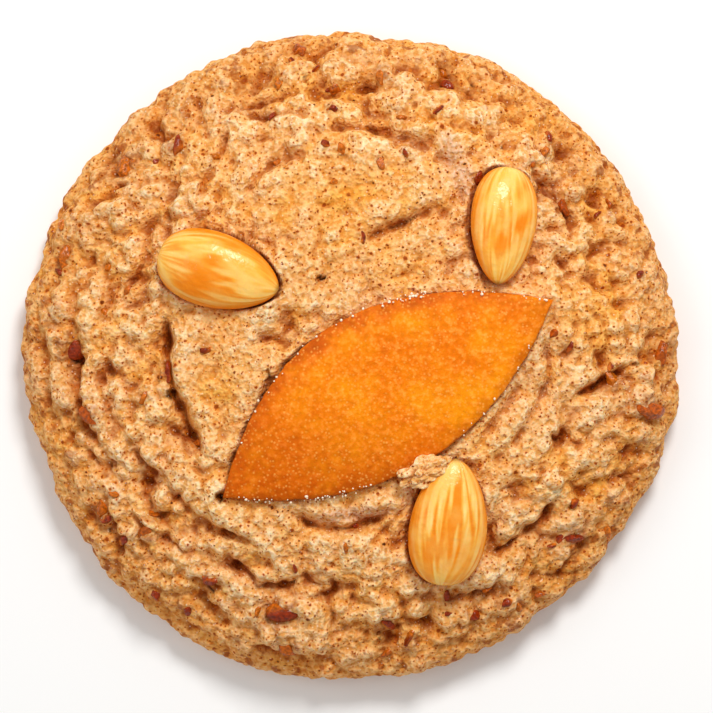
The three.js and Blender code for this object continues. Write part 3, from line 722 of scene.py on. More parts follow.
def add_piece(name, points, faces, material, attributes=None, smooth=True):
    """Makes a piece from points in millimetres and groups of faces, with point attributes."""
    mesh = bpy.data.meshes.new(name)
    corners = np.concatenate([group.ravel() for group in faces]).astype(np.int32)
    sizes = np.concatenate([np.full(len(group), group.shape[1]) for group in faces])
    mesh.vertices.add(len(points))
    mesh.vertices.foreach_set("co", (points * MM).astype(np.float32).ravel())
    mesh.loops.add(len(corners))
    mesh.loops.foreach_set("vertex_index", corners)
    mesh.polygons.add(len(sizes))
    mesh.polygons.foreach_set("loop_start", (np.cumsum(sizes) - sizes).astype(np.int32))
    mesh.polygons.foreach_set("use_smooth", np.full(len(sizes), smooth))
    for attribute, values in (attributes or {}).items():
        layer = mesh.attributes.new(attribute, "FLOAT", "POINT")
        layer.data.foreach_set("value", values.astype(np.float32).ravel())
    mesh.update(calc_edges=True)
    mesh.validate()
    mesh.materials.append(material)
    piece = bpy.data.objects.new(name, mesh)
    bpy.context.scene.collection.objects.link(piece)
    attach(piece, "root")
    return piece


# For each kind of shader node: the output that is used, then the inputs in the order of values.
SOCKETS = {
    "TexCoord": ("Object",),
    "Attribute": ("Fac",),
    "TexNoise": ("Fac", "Vector", "Scale", "Detail"),
    "TexVoronoi": ("Distance", "Vector", "Scale"),
    "SeparateColor": ("Red", "Color"),
    "MapRange": ("Result", "Value", "From Min", "From Max", "To Min", "To Max"),
    "Math": ("Value", "Value", "Value_001"),
    "VectorMath": ("Vector", "Vector", "Vector_001"),
    "Mix": ("Result_Color", "Factor_Float", "A_Color", "B_Color"),
    "Bump": ("Normal", "Height", "Strength", "Distance", "Normal"),
    "BsdfPrincipled": ("BSDF",),
    "OutputMaterial": (None, "Surface"),
}


def wire(tree, kind, *values, output=None, **settings):
    """Adds one shader node with its settings, fills or links its inputs, and gives one output.

    Values come in the order of SOCKETS, or as one dictionary by name. Mix nodes mix colours."""
    node = tree.nodes.new("ShaderNode" + kind)
    if kind == "Mix":
        node.data_type = "RGBA"
    for name, value in settings.items():
        setattr(node, name, value)
    sockets = {socket.identifier: socket for socket in node.inputs}
    if not values or not isinstance(values[0], dict):
        values = (dict(zip(SOCKETS[kind][1:], values)),)
    for name, value in values[0].items():
        if isinstance(value, bpy.types.NodeSocket):
            tree.links.new(value, sockets[name])
        elif sockets[name].type == "RGBA":
            sockets[name].default_value = (*value, 1)
        else:
            sockets[name].default_value = value
    output = output or SOCKETS[kind][0]
    return next((socket for socket in node.outputs if socket.identifier == output), None)


def new_material(name, attributes=(), noises=()):
    """A procedural material with its node tree, its place, and the patterns that it is made of.

    The patterns are the piece's attributes, by name, and noises, by size in millimetres, each
    given as size and detail."""
    material = bpy.data.materials.new(name)
    material.use_nodes = True
    tree = material.node_tree
    tree.nodes.clear()
    place = wire(tree, "TexCoord")
    patterns = {"everywhere": 1.0}
    for attribute in attributes:
        patterns[attribute] = wire(tree, "Attribute", attribute_name=attribute)
    for size, detail in noises:
        patterns[size] = wire(tree, "TexNoise", place, 1 / (size * MM), detail)
    return material, tree, place, patterns


def coated(tree, colour, patterns, coats):
    """A colour under coats of other colours, laid one after the other.

    Each coat has its colour, the pattern where it lies, the noise that breaks it up, the noise's
    range, and the coat's strength at both ends of that range."""
    for paint, where, size, *levels in coats:
        amount = wire(tree, "MapRange", patterns[size], *levels)
        amount = wire(tree, "Math", amount, patterns[where], operation="MULTIPLY")
        colour = wire(tree, "Mix", amount, colour, paint)
    return colour


def grains(tree, place, spacing, near, far, strength):
    """Share of fine grains, one to each cell of spacing: strength up to near, none past far."""
    away = wire(tree, "TexVoronoi", place, 1 / (spacing * MM))
    return wire(tree, "MapRange", away, near, far, strength, 0.0)


def baked_dough(dough):
    """Baked nut dough: matt tan paste with a fine sugary grain.

    Golden on its crests and paler there, partly with painted light; moist brown in its folds and
    hollows, partly painted shade, and round the bits of nut; near black in its holes and dark in
    the gaps beside the toppings, as painted shade and shadow; browner on its rim, partly as painted
    shade; flecked red-brown with ground nut skin, and dotted with painted glints of sugar."""
    material, tree, place, patterns = new_material(
        "baked_nut_dough_matt",
        ("hollow", "deep", "crevice", "crest", "rim", "toasted", "smear", "stain", "pit"),
        ((13, 3.0), (4.5, 4.0), (2.2, 3.0), (1.6, 3.0), (0.9, 1.2)))
    colour = coated(tree, dough.paste, patterns, (
        (dough.warm_paste, "everywhere", 13, 0.38, 0.62, 0.0, 1.0),
        (dough.toasted, "everywhere", 4.5, 0.54, 0.70, 0.0, 0.6),
        (dough.toasted, "toasted", 4.5, 0.38, 0.62, 0.15, 0.65),
        # Pale on the raised crests: partly dry dough, partly painted light.
        (dough.pale, "crest", 2.2, 0.30, 0.70, 0.15, 0.78),
        # Pale, pinkish patches: wet dough with its sheen painted in, and a painted highlight on the
        # crescent fold under the leaf.
        (dough.smeared_sheen, "smear", 4.5, 0.30, 0.60, 0.80, 1.0),
        # Browner on the rim: partly browned in the oven, partly painted shade on the side that
        # turns away from the light.
        (dough.rim, "rim", 2.2, 0.30, 0.70, 0.25, 0.65),
        # Painted shade: dark blotches along the rim.
        (dough.stain, "rim", 2.2, 0.55, 0.64, 0.0, 0.75),
        # Brown in the hollows and between the small lumps: partly moist dough, partly painted
        # shade.
        (dough.crevice, "crevice", 2.2, 0.30, 0.60, 0.20, 0.60),
        (dough.crevice, "hollow", 2.2, 0.30, 0.70, 0.30, 0.70),
        # Moist brown in the deepest folds, partly painted shade, and painted shadow in the gaps
        # beside the toppings.
        (dough.syrup_and_shade, "deep", 1.6, 0.30, 0.70, 0.70, 1.0),
        (dough.stain, "stain", 1.6, 0.38, 0.62, 0.25, 1.0),
        # Painted shade: holes near black in their depth, and a little in the gaps beside the
        # toppings.
        (dough.pit, "pit", 1.6, 0.30, 0.70, 0.90, 1.0),
    ))

    # Grain of 0.9 mm, from the same noise as the bump: painted light makes its tops paler, and
    # painted shade makes it darker and oranger between them.
    tint = wire(tree, "MapRange", patterns[0.9], 0.36, 0.62)
    tint = wire(tree, "Mix", tint, (0.83, 0.62, 0.34), (1.04, 1.09, 1.17))
    colour = wire(tree, "Mix", 1.0, colour, tint, blend_type="MULTIPLY")

    # A place that wanders by a quarter of a millimetre each way, for ragged flecks.
    wander = wire(tree, "TexNoise", place, 1 / (0.4 * MM), output="Color")
    wander = wire(tree, "VectorMath", {"Vector": wander, "Scale": 0.5 * MM}, operation="SCALE")
    ragged = wire(tree, "VectorMath", place, wander, operation="ADD")

    # Flecks of nut skin in three kinds, each with an oily halo: distance between them, largest
    # radius, strength. Away is the way from a fleck's middle, in shares of its own radius.
    for cell, radius, strength in ((0.9, 0.19, 0.9), (1.4, 0.25, 0.95), (3.4, 0.42, 0.95)):
        distance = wire(tree, "TexVoronoi", ragged, 1 / (cell * MM))
        cells = distance.node.outputs["Color"]
        reach = wire(
            tree, "MapRange", wire(tree, "SeparateColor", cells), 0.0, 1.0, 0.45 * radius / cell,
            radius / cell)
        away = wire(tree, "Math", distance, reach, operation="DIVIDE")
        halo = wire(tree, "MapRange", away, 1.0, 2.2, 0.6, 0.0)
        colour = wire(tree, "Mix", halo, colour, dough.halo)
        darkness = wire(
            tree, "MapRange", wire(tree, "SeparateColor", cells, output="Green"), 0.75, 1.0)
        ink = wire(tree, "Mix", darkness, dough.speck, dough.dark_speck)
        spot = wire(tree, "MapRange", away, 0.8, 1.25, strength, 0.0)
        colour = wire(tree, "Mix", spot, colour, ink)

    # Painted glints: dots of pale sugar colour stand in for the highlights of sugar grains that
    # catch the light.
    painted_glint = grains(tree, place, 1.0, 0.08, 0.18, 0.45)
    colour = wire(tree, "Mix", painted_glint, colour, dough.sugar)
    bump = wire(tree, "Bump", patterns[0.9], 1.0, 0.8 * MM)
    moist = wire(tree, "MapRange", patterns["hollow"], 0.1, 0.9, 0.6, 0.45)
    shader = wire(tree, "BsdfPrincipled", {
        "Base Color": colour, "Roughness": moist, "Normal": bump, "IOR": 1.45,
        "Specular IOR Level": 0.1, "Subsurface Weight": 0.3, "Subsurface Scale": 1.2 * MM,
        "Subsurface Radius": (1.0, 0.45, 0.2)})
    wire(tree, "OutputMaterial", shader)
    return material


def nut_skin(chips):
    """Chopped unpeeled nut: red-brown skin on one side and amber, oily flesh on the others."""
    material, tree, _, patterns = new_material(
        "chopped_nut_with_skin", ("skin", "tint"), ((0.6, 2.0),))
    flesh = wire(tree, "Mix", patterns["tint"], chips.flesh, chips.amber)
    colour = wire(tree, "Mix", patterns["skin"], flesh, chips.skin)
    mottled = wire(tree, "MapRange", patterns[0.6], 0.3, 0.7, 0.5, 1.35)
    colour = wire(tree, "VectorMath", {"Vector": colour, "Scale": mottled}, operation="SCALE")
    bump = wire(tree, "Bump", patterns[0.6], 0.8, 0.3 * MM)
    shader = wire(tree, "BsdfPrincipled", {
        "Base Color": colour, "Roughness": 0.14, "IOR": 1.46, "Specular IOR Level": 0.3,
        "Normal": bump})
    wire(tree, "OutputMaterial", shader)
    return material


def blanched_almond(almond):
    """Blanched and baked almond: ivory-yellow, softly glossy, with fine straight fibres.

    Orange veins run lengthwise in its grooves, a patch of it baked honey-brown, and its flanks are
    coated honey-brown as painted shade."""
    material, tree, _, patterns = new_material(
        "blanched_almond_baked", ("fibre", "honey", "tip"), ((4, 3.0), (1.3, 2.0)))
    patterns["streak"] = wire(tree, "MapRange", patterns["fibre"], 0.15, 0.45)
    patterns["vein"] = wire(tree, "MapRange", patterns["fibre"], 0.45, 0.95)
    colour = coated(tree, almond.ivory, patterns, (
        (almond.gold, "streak", 4, 0.35, 0.65, 0.7, 1.0),
        (almond.honey, "vein", 4, 0.30, 0.60, 0.45, 0.80),
        # Honey-brown patches, and painted shade on the flanks that turn away from the light from
        # above.
        (almond.honey, "honey", 4, 0.30, 0.60, 0.5, 0.9),
        (almond.brown, "tip", 4, 0.30, 0.60, 0.8, 1.0),
    ))
    grooves = wire(tree, "Bump", patterns["fibre"], 0.6, 0.15 * MM, invert=True)
    bump = wire(tree, "Bump", patterns[1.3], 0.8, 0.25 * MM, grooves)
    shader = wire(tree, "BsdfPrincipled", {
        "Base Color": colour, "Roughness": 0.2, "IOR": 1.47, "Specular IOR Level": 0.22,
        "Normal": bump, "Subsurface Weight": 0.25, "Subsurface Scale": 1.5 * MM,
        "Subsurface Radius": (1.0, 0.5, 0.1)})
    wire(tree, "OutputMaterial", shader)
    return material


def coarse_sugar(leaf):
    """Coarse sugar: clear, glossy grains that look white."""
    material, tree, _, _ = new_material("coarse_sugar_glossy")
    shader = wire(tree, "BsdfPrincipled", {
        "Base Color": leaf.grains, "Roughness": 0.25, "IOR": 1.54, "Specular IOR Level": 0.5})
    wire(tree, "OutputMaterial", shader)
    return material


def candied_orange(leaf):
    """Candied orange, cut from a sheet: bright, matt and fine-grained with a dusting of sugar.

    Redder along its upper edge, orange-brown towards its low end and browner at its edge."""
    material, tree, place, patterns = new_material(
        "candied_orange_matt", ("upper", "low", "edge"), ((9, 4.0), (2.5, 3.0), (1.1, 2.5)))
    colour = coated(tree, leaf.bright, patterns, (
        (leaf.deep, "everywhere", 9, 0.35, 0.62, 0.0, 1.0),
        (leaf.blush, "everywhere", 2.5, 0.52, 0.75, 0.0, 0.4),
        (leaf.sugar, "everywhere", 1.1, 0.50, 0.72, 0.0, 0.35),
        (leaf.blush, "upper", 2.5, 0.30, 0.60, 0.4, 1.0),
        (leaf.baked, "low", 2.5, 0.30, 0.60, 0.6, 1.0),
        (leaf.edge, "edge", 2.5, 0.30, 0.60, 0.2, 0.8),
    ))
    shade = wire(tree, "MapRange", patterns[1.1], 0.3, 0.7, 0.85, 1.11)
    colour = wire(tree, "VectorMath", {"Vector": colour, "Scale": shade}, operation="SCALE")
    dusted = wire(tree, "MapRange", patterns[2.5], 0.34, 0.58, 0.2, 1.0)
    glint = grains(tree, place, 0.7, 0.12, 0.40, 0.55)
    glint = wire(tree, "Math", glint, dusted, operation="MULTIPLY")
    colour = wire(tree, "Mix", glint, colour, leaf.sugar)
    bump = wire(tree, "Bump", patterns[1.1], 1.0, 0.28 * MM)
    shader = wire(tree, "BsdfPrincipled", {
        "Base Color": colour, "Roughness": 0.6, "IOR": 1.45, "Specular IOR Level": 0.08,
        "Normal": bump, "Subsurface Weight": 0.15, "Subsurface Scale": 1.0 * MM,
        "Subsurface Radius": (1.0, 0.4, 0.1)})
    wire(tree, "OutputMaterial", shader)
    return material


# ---- Settings that a user may change ----


class LEBKUCHEN_PG_dough(bpy.types.PropertyGroup):
    """Sizes and colours of the baked dough."""

    grid: IntProperty(
        name="Grid", description="Cells along a side of the crust's grid", default=308, min=40,
        max=310)
    lump_size: length_property("Lump size", "Distance between the crust's larger lumps", 6.4)
    lump_height: length_property("Lump height", "Height scale of the larger lumps", 2.8)
    small_lump_size: length_property("Small lump size", "Distance between small lumps", 3.0)
    small_lump_height: length_property("Small lump height", "Height scale of small lumps", 2.1)
    paste: colour_property("Paste", "Pale dough on slopes and smooth folds", "#F4BD7E")
    warm_paste: colour_property("Warm paste", "Dough that browned a little", "#F8B868")
    toasted: colour_property("Toasted", "Golden patches", "#FAB044")
    # Palest crests: partly dry dough, partly painted light.
    pale: colour_property("Pale crest", "Driest, palest crests", "#FFE5B8")
    # Browner rim, partly browned and partly painted shade.
    rim: colour_property("Rim", "Browned side of the rim", "#DE923C")
    # Brown for the hollows and between the small lumps, partly moist dough and partly painted
    # shade.
    crevice: colour_property("Crevice", "Brown between the small lumps", "#B04E00")
    # Moist brown and painted shade in the deep folds, and painted shadow in the gaps beside the
    # toppings.
    syrup_and_shade: colour_property("Moist folds", "Moist brown in the folds", "#903A00")
    stain: colour_property("Stain", "Oily brown round bits of nut", "#983E02")
    # Painted shade in the depth of holes.
    pit: colour_property("Pit", "Nearly black depth of holes", "#2A0E02")
    halo: colour_property("Halo", "Oily orange dough round each fleck", "#DC7A14")
    speck: colour_property("Speck", "Ground nut skin", "#9C3E06")
    dark_speck: colour_property("Dark speck", "Darkest nut skin", "#4C1802")
    # Colour of the painted glints on the sugar grains.
    sugar: colour_property("Sugar", "Grains of sugar that catch the light", "#FFF2D8")
    # Pale, pinkish wet dough, with painted sheen and painted highlight.
    smeared_sheen: colour_property("Smeared", "Wet, pinkish smears of dough", "#E6B890")


class LEBKUCHEN_PG_chips(bpy.types.PropertyGroup):
    """Colours of the chopped nut."""

    skin: colour_property("Skin", "Red-brown skin of the nut", "#8E2C04")
    flesh: colour_property("Flesh", "Baked flesh of the nut", "#AC4808")
    amber: colour_property("Amber", "Paler, oily flesh", "#CC6C14")


class LEBKUCHEN_PG_almonds(bpy.types.PropertyGroup):
    """Sizes and colours of the almonds."""

    groove_depth: length_property("Groove depth", "Depth of the lengthwise grooves", 0.07)
    ivory: colour_property("Ivory", "Palest almond", "#FFD880")
    gold: colour_property("Gold", "Warmer almond", "#FCB440")
    # Also the painted shade on the almonds' flanks.
    honey: colour_property("Honey", "Honey-brown patches and veins", "#F28404")
    brown: colour_property("Brown", "Baked tip", "#9A6A28")


class LEBKUCHEN_PG_leaf(bpy.types.PropertyGroup):
    """Colours of the candied orange leaf."""

    bright: colour_property("Bright", "Brightest orange", "#FF9508")
    deep: colour_property("Deep", "Deeper orange", "#F07802")
    blush: colour_property("Blush", "Redder orange along the upper edge", "#DE6410")
    baked: colour_property("Baked", "Orange-brown towards the low end", "#CC5800")
    edge: colour_property("Edge", "Browned edge", "#B85006")
    sugar: colour_property("Sugar", "Fine sugar in the surface", "#FFB454")
    grains: colour_property("Grains", "Coarse sugar along the edges", "#F8E4C4")


class LEBKUCHEN_PG_stage(bpy.types.PropertyGroup):
    """Floor, lights and camera."""

    floor: colour_property("Floor", "Pale floor", "#FAF9F7")
    camera_height: FloatProperty(
        name="Camera height", description="Camera above the floor", default=0.75, min=0.2,
        subtype="DISTANCE", unit="LENGTH")
    key_power: FloatProperty(
        name="Key power", description="Power of the large soft light", default=3.5, min=0,
        subtype="POWER", unit="POWER")
    fill: FloatProperty(
        name="Fill", description="Strength of the even light all round", default=0.49, min=0)


# ---- Operators ----


class LEBKUCHEN_OT_dough(bpy.types.Operator):
    """Bakes the round of dough with its lumps, folds, cracks and pockets."""

    bl_idname = "lebkuchen.dough"
    bl_label = "Dough"

    def execute(self, context):
        dough = context.scene.lebkuchen_dough
        way, turn, cells, edge = wrapped_square(dough.grid)
        points, _, relief = crust_surface(way * SECTION_LENGTH, turn, dough)
        for axis, (low, high) in enumerate(zip(dough_low[:2], dough_high[:2])):
            line = points[..., axis]
            middle, size = (line.max() + line.min()) / 2, line.max() - line.min()
            points[..., axis] = (line - middle) * (high - low) / size + (high + low) / 2
        points, shadow = press_pockets(points)
        x, y, z = points[..., 0], points[..., 1], points[..., 2]
        wide, near = blurred(relief, 8), blurred(relief, 2)
        pressed = smoothness(x, y)
        # Hollow: browned where a point lies below the broad surface, partly moist dough, partly
        # painted shade.
        hollow = ramp(wide - relief, 0.1, 1.7) * (1 - 0.5 * pressed)
        # Rim: browner from the shoulder down, partly browned dough and partly painted shade.
        rim = ramp(way * SECTION_LENGTH, 46, 63)
        # Deep: darker in the deepest folds and towards the rim, partly moist dough and partly
        # painted shade.
        deep = ramp(wide - relief + 0.3 * rim, 1.0, 2.3) * (1 - 0.4 * pressed)
        # The gaps beside the toppings take their painted shadow.
        deep = np.maximum(deep, shadow)
        # Crevice: browned between the small lumps, partly moist dough, partly painted shade.
        crevice = ramp(near - relief, 0.08, 0.6)
        # Crest: how far a point stands above its neighbours, paled partly as dry dough and partly
        # as painted light.
        crest = ramp(relief - wide, -0.1, 0.8)
        # Painted shade in the holes, and a little of the gaps' painted shadow.
        pit = np.maximum(ramp(pits(x, y), 0.3, 1.4) * (z > RIM_HEIGHT), 0.12 * shadow)
        stain = np.zeros(np.shape(x))
        for chip_x, chip_y, size in (*CHIPS, *BITS):
            way_off = np.hypot(x - chip_x, y - chip_y) / size + 0.7 * swell(x, y, 1.8, 77)
            most = 0.35 + 0.45 * ramp(size, 2.4, 3.2)
            stain = np.maximum(stain, most * (1 - ramp(way_off, 0.35, 0.8)))
        toasted = patched(x, y, TOASTED_PATCHES, 0.3, 1.2)
        # Patches of pale wet dough, with painted sheen and a painted highlight.
        smear = patched(x, y, SMEAR_SHEEN_PATCHES, 0.4, 1.1)
        points[..., 2][way == 1] = 0
        points = np.concatenate([points.reshape(-1, 3), [[0, 0, 0]]])
        under = np.stack([np.roll(edge, -1), edge, np.full(len(edge), len(points) - 1)], axis=-1)
        marks = {"hollow": hollow, "deep": deep, "crevice": crevice, "crest": crest, "pit": pit,
                 "stain": stain, "rim": rim, "toasted": toasted, "smear": smear}
        # The underside's middle browned as the rim did.
        marks = {name: np.append(values, name == "rim") for name, values in marks.items()}
        piece = add_piece(
            "baked_dough", points, (cells, under), baked_dough(dough), marks)
        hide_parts("dough")
        return {"FINISHED"}


class LEBKUCHEN_OT_chips(bpy.types.Operator):
    """Sets the chips of chopped nut into the crust."""

    bl_idname = "lebkuchen.chips"
    bl_label = "Nut chips"

    def execute(self, context):
        dough, chips = context.scene.lebkuchen_dough, context.scene.lebkuchen_chips
        count = np.arange(DRAWN_CHIPS)
        near, far = DRAWN_CHIP_RING
        ring = np.sqrt(near ** 2 + (far ** 2 - near ** 2) * draw(count, 4, DRAWN_CHIP_SEED))
        angle = math.tau * (count + draw(count, 5, DRAWN_CHIP_SEED)) / DRAWN_CHIPS
        least, most = DRAWN_CHIP_SIZE
        drawn = np.stack([ring * np.cos(angle), ring * np.sin(angle),
                          least + (most - least) * draw(count, 6, DRAWN_CHIP_SEED)], axis=-1)
        x, y, size = np.concatenate([CHIPS, drawn, BITS]).T
        number = np.arange(len(size))
        size = size * np.where(number < len(CHIPS), CHIP_SCALE, BIT_SCALE)
        place, outward, _ = crust_surface(reach_over(np.hypot(x, y)), np.arctan2(y, x), dough)
        place = place - CHIP_SUNK * size[:, None] * outward

        # A ball's point moves out to the nearest of the facets' planes, with soft edges between
        # them, and each chip is then drawn out, tipped, spun and set on the crust.
        way, turn, faces = ball_grid(*CHIP_STEPS)
        ball = np.array(ball_points(way, turn))
        seed = number[:, None]
        facet = np.arange(CHIP_FACETS)[None]
        facet_z = 1.8 * draw(facet, 1 + seed, 85) - 0.9
        facet_turn = math.tau * (facet + draw(facet, 1 + seed, 86)) / 4
        flat = np.sqrt(1 - facet_z ** 2)
        normal = np.stack([flat * np.cos(facet_turn), flat * np.sin(facet_turn), facet_z], axis=-1)
        far = 0.55 + 0.45 * draw(facet, 1 + seed, 87)
        reach = np.maximum(normal @ ball, 0) / far[..., None]
        reach = 1 / np.maximum((reach ** CHIP_SHARPNESS).sum(axis=1), 0.1) ** (1 / CHIP_SHARPNESS)
        half = np.stack([size / 2, size / 2 * (0.4 + 0.3 * draw(number, 1, 51)), size / 3.4])
        chip_x, chip_y, chip_z = reach * ball[:, None] * half[..., None]
        tip, spin = 0.8 * (draw(seed, 2, 51) - 0.5), math.tau * draw(seed, 3, 51)
        chip_y, chip_z = spun(chip_y, chip_z, tip)
        chip_x, chip_y = spun(chip_x, chip_y, spin)
        side = np.stack([1e-6 - outward[:, 1], outward[:, 0], 0 * x], axis=-1)
        side = side / np.linalg.norm(side, axis=-1, keepdims=True)
        axes = np.stack([side, np.cross(outward, side), outward], axis=1)
        points = place[:, None] + np.stack([chip_x, chip_y, chip_z], axis=-1) @ axes
        facing = np.cos(turn + math.tau * draw(seed, 7, 82)) * np.sin(way) + 0.5 * ball[2]
        skin = ramp(facing, -0.5, 0.3) * (draw(seed, 8, 83) < 0.5)
        tint = draw(seed, 9, 84) + 0 * turn
        add_piece(
            "nut_chips", points.reshape(-1, 3), repeated(faces, len(way), len(size)),
            nut_skin(chips), {"skin": skin, "tint": tint}, smooth=False)
        return {"FINISHED"}


class LEBKUCHEN_OT_crumb(bpy.types.Operator):
    """Squeezes the crumb of dough up between the leaf and the lower almond."""

    bl_idname = "lebkuchen.crumb"
    bl_label = "Crumb"

    def execute(self, context):
        way, turn, faces = ball_grid(*CRUMB_STEPS)
        x, y, z = ball_points(way, turn)
        lumps = 1 + 0.45 * swell(2.3 * x + z, 1.7 * y, 1, CRUMB_SEED)
        lumps = lumps + 0.42 * cobble(2.4 * x + 1.5 * z, 2.4 * y + z, 0.8, 1, CRUMB_SEED + 1)
        lumps = lumps + 0.08 * swell(5 * x + 4 * z, 5 * y - 3 * z, 1, CRUMB_SEED + 2)
        local = np.stack([x, y, z], axis=-1) * lumps[:, None] * np.array(CRUMB_HALF)
        spun_x, spun_y = turned(local[:, 0], local[:, 1], CRUMB_TURN)
        height = dome_over(CRUMB_X, CRUMB_Y) + CRUMB_RISE
        points = np.stack([spun_x + CRUMB_X, spun_y + CRUMB_Y, local[:, 2] + height], axis=-1)
        # As on the crust: browned in the crumb's hollows, partly painted shade, and paled on its
        # bumps, partly painted light.
        hollow = 0.6 * ramp(0.95 - lumps, 0.0, 0.3)
        crest = ramp(lumps, 0.8, 1.1)
        material = bpy.data.materials["baked_nut_dough_matt"]
        add_piece("dough_crumb", points, faces, material,
                  {"hollow": hollow, "crest": crest, "toasted": 0.8 + 0 * lumps})
        return {"FINISHED"}


class LEBKUCHEN_OT_almonds(bpy.types.Operator):
    """Lays the three almonds in their pockets."""

    bl_idname = "lebkuchen.almonds"
    bl_label = "Almonds"

    def execute(self, context):
        settings = context.scene.lebkuchen_almonds
        material = blanched_almond(settings)
        way, turn, faces = ball_grid(*ALMOND_STEPS)
        share = (1 - np.cos(way)) / 2
        girth = almond_girth(share)
        ring_x, ring_y = np.cos(turn), np.sin(turn)
        for number, (node, length, width, x, y, heading, roll) in enumerate(ALMONDS):
            seed = FIBRE_SEED + 4 * number
            broad, fine = (
                swell(count * ring_x + 40, count * ring_y + drift * share, FIBRE_SIZE, seed + i)
                for i, (count, drift) in enumerate(((BROAD_FIBRES, 4), (FINE_FIBRES, 14))))
            fade = 0.6 + 1.3 * swell(3 * ring_x + 9 * share, 3 * ring_y, 2, seed + 2)
            vein = 1 - ramp(np.abs(broad + 0.15 * fine), 0.0, 0.3)
            fibre = np.clip(0.3 + fade * (0.85 * vein + 0.35 * fine), 0, 1)
            groove = ramp(fibre, 0.5, 0.85) * ramp(girth, 0.3, 0.8)
            depth = settings.groove_depth / MM * groove
            across = (width / 2 - depth) * girth * ring_x
            up = (ALMOND_THICKNESS / 2 - depth) * girth * ring_y
            across, up = turned(across, up, roll)
            flat_x, flat_y = turned(length * (share - 0.5), across, heading)
            lean, middle = almond_lean(x, y)
            points = np.stack([flat_x, flat_y, up], axis=-1) @ np.array(lean.to_matrix()).T
            points = points + np.array([x, y, middle])
            patch_x, patch_y, patch_size = HONEY_PATCHES[node]
            patch = np.hypot(flat_x - patch_x, flat_y - patch_y) / patch_size
            honey = (1 - ramp(patch, 0.2, 1.2)) * (0.4 + 0.6 * ramp(fibre, 0.15, 0.7))
            # Painted shade: the flanks, which turn away from the light from above, are coated
            # honey-brown.
            honey = np.maximum(honey, 1.1 * ramp(0.88 - ring_y, 0, 0.75))
            tip = 0.8 * ramp(share, 0.965, 1.0)
            piece = add_piece("baked_" + node, fitted(points, node), faces, material,
                              {"fibre": fibre, "honey": honey, "tip": tip})
            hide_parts(node)
        return {"FINISHED"}


class LEBKUCHEN_OT_leaf(bpy.types.Operator):
    """Lays the leaf of candied orange over the dome."""

    bl_idname = "lebkuchen.leaf"
    bl_label = "Orange leaf"

    def execute(self, context):
        way, turn, faces = ball_grid(*LEAF_STEPS)
        along = np.sin(math.pi / 2 * -np.cos(way))
        open_share = np.clip(1 - along * along, 0, 1)
        tip = np.minimum(np.sqrt(8 * open_share), 1)
        left, right = leaf_half_widths(along)
        bar_x, bar_z = (np.sign(wave) * np.abs(wave) ** LEAF_SQUARENESS
                        for wave in (np.cos(turn), np.sin(turn)))
        ragged = swells(along * 20, bar_x, LEAF_RAGGED)
        offset = bar_x * (np.where(bar_x > 0, left, right) + ragged * tip)
        crown = LEAF_CROWN * open_share * (1 - bar_x * bar_x)
        height = bar_z * LEAF_THICKNESS / 2 * tip - LEAF_SAG * along ** 2 + crown
        length = along * LEAF_LENGTH / 2
        flat_x, flat_y = turned(length, offset, LEAF_TURN)
        middle = dome_over(LEAF_X, LEAF_Y) - LEAF_SUNK + LEAF_THICKNESS / 2
        points = np.stack([flat_x + LEAF_X, flat_y + LEAF_Y, height + middle], axis=-1)
        inside = np.where(offset > 0, left, right) * (1 - np.abs(bar_x))
        worn = swells(length, offset, LEAF_WORN)
        edge = (1 - ramp(inside + worn, 0.0, 3.0)) * (0.75 - 0.2 * along)
        edge = np.maximum(edge, 0.8 * ramp(along + 0.05 * worn, 0.72, 1.0))
        low = ramp(-along - offset / 30, -0.1, 0.9)
        upper = 1 - ramp(inside + 2.5 * worn, 0.0, 6.0)
        upper = upper * (offset > 0) * (1 - ramp(along, 0.5, 1.0))
        piece = add_piece("candied_orange_leaf", fitted(points, "orange_leaf"), faces,
                          candied_orange(context.scene.lebkuchen_leaf),
                          {"edge": edge, "low": low, "upper": upper})
        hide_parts("orange_leaf")
        return {"FINISHED"}


class LEBKUCHEN_OT_sugar(bpy.types.Operator):
    """Scatters grains of coarse sugar along the leaf's edges."""

    bl_idname = "lebkuchen.sugar"
    bl_label = "Coarse sugar"

    def execute(self, context):
        starts, ends, sides, counts = np.array(SUGAR_RUNS).T
        start, end, side = np.repeat([starts, ends, sides], counts.astype(int), axis=1)
        number = np.arange(len(side))
        along = start + (end - start) * draw(number, 1, SUGAR_SEED)
        least, most = SUGAR_SIZE
        size = least + (most - least) * draw(number, 2, SUGAR_SEED) ** 2
        out = 1.1 * draw(number, 3, SUGAR_SEED) - 0.7
        left, right = leaf_half_widths(along)
        offset = side * (np.where(side > 0, left, right) + out)
        x, y = turned(along * LEAF_LENGTH / 2, offset, LEAF_TURN)
        top = dome_over(LEAF_X, LEAF_Y) - LEAF_SUNK + LEAF_THICKNESS
        height = top - LEAF_SAG * along ** 2 - 1.3 * ramp(out, -0.6, 0.4)
        place = np.stack([x + LEAF_X, y + LEAF_Y, height], axis=-1)

        way, turn, faces = ball_grid(*SUGAR_STEPS)
        x, y, z = ball_points(way, turn + math.tau * draw(number, 4, SUGAR_SEED)[:, None])
        long_share = 0.7 + 0.6 * draw(number, 5, SUGAR_SEED)[:, None]
        points = np.stack([long_share * x, y, 0.8 * z], axis=-1)
        points = place[:, None] + size[:, None, None] / 2 * points
        add_piece(
            "coarse_sugar", points.reshape(-1, 3), repeated(faces, len(way), len(number)),
            coarse_sugar(context.scene.lebkuchen_leaf), smooth=False)
        return {"FINISHED"}


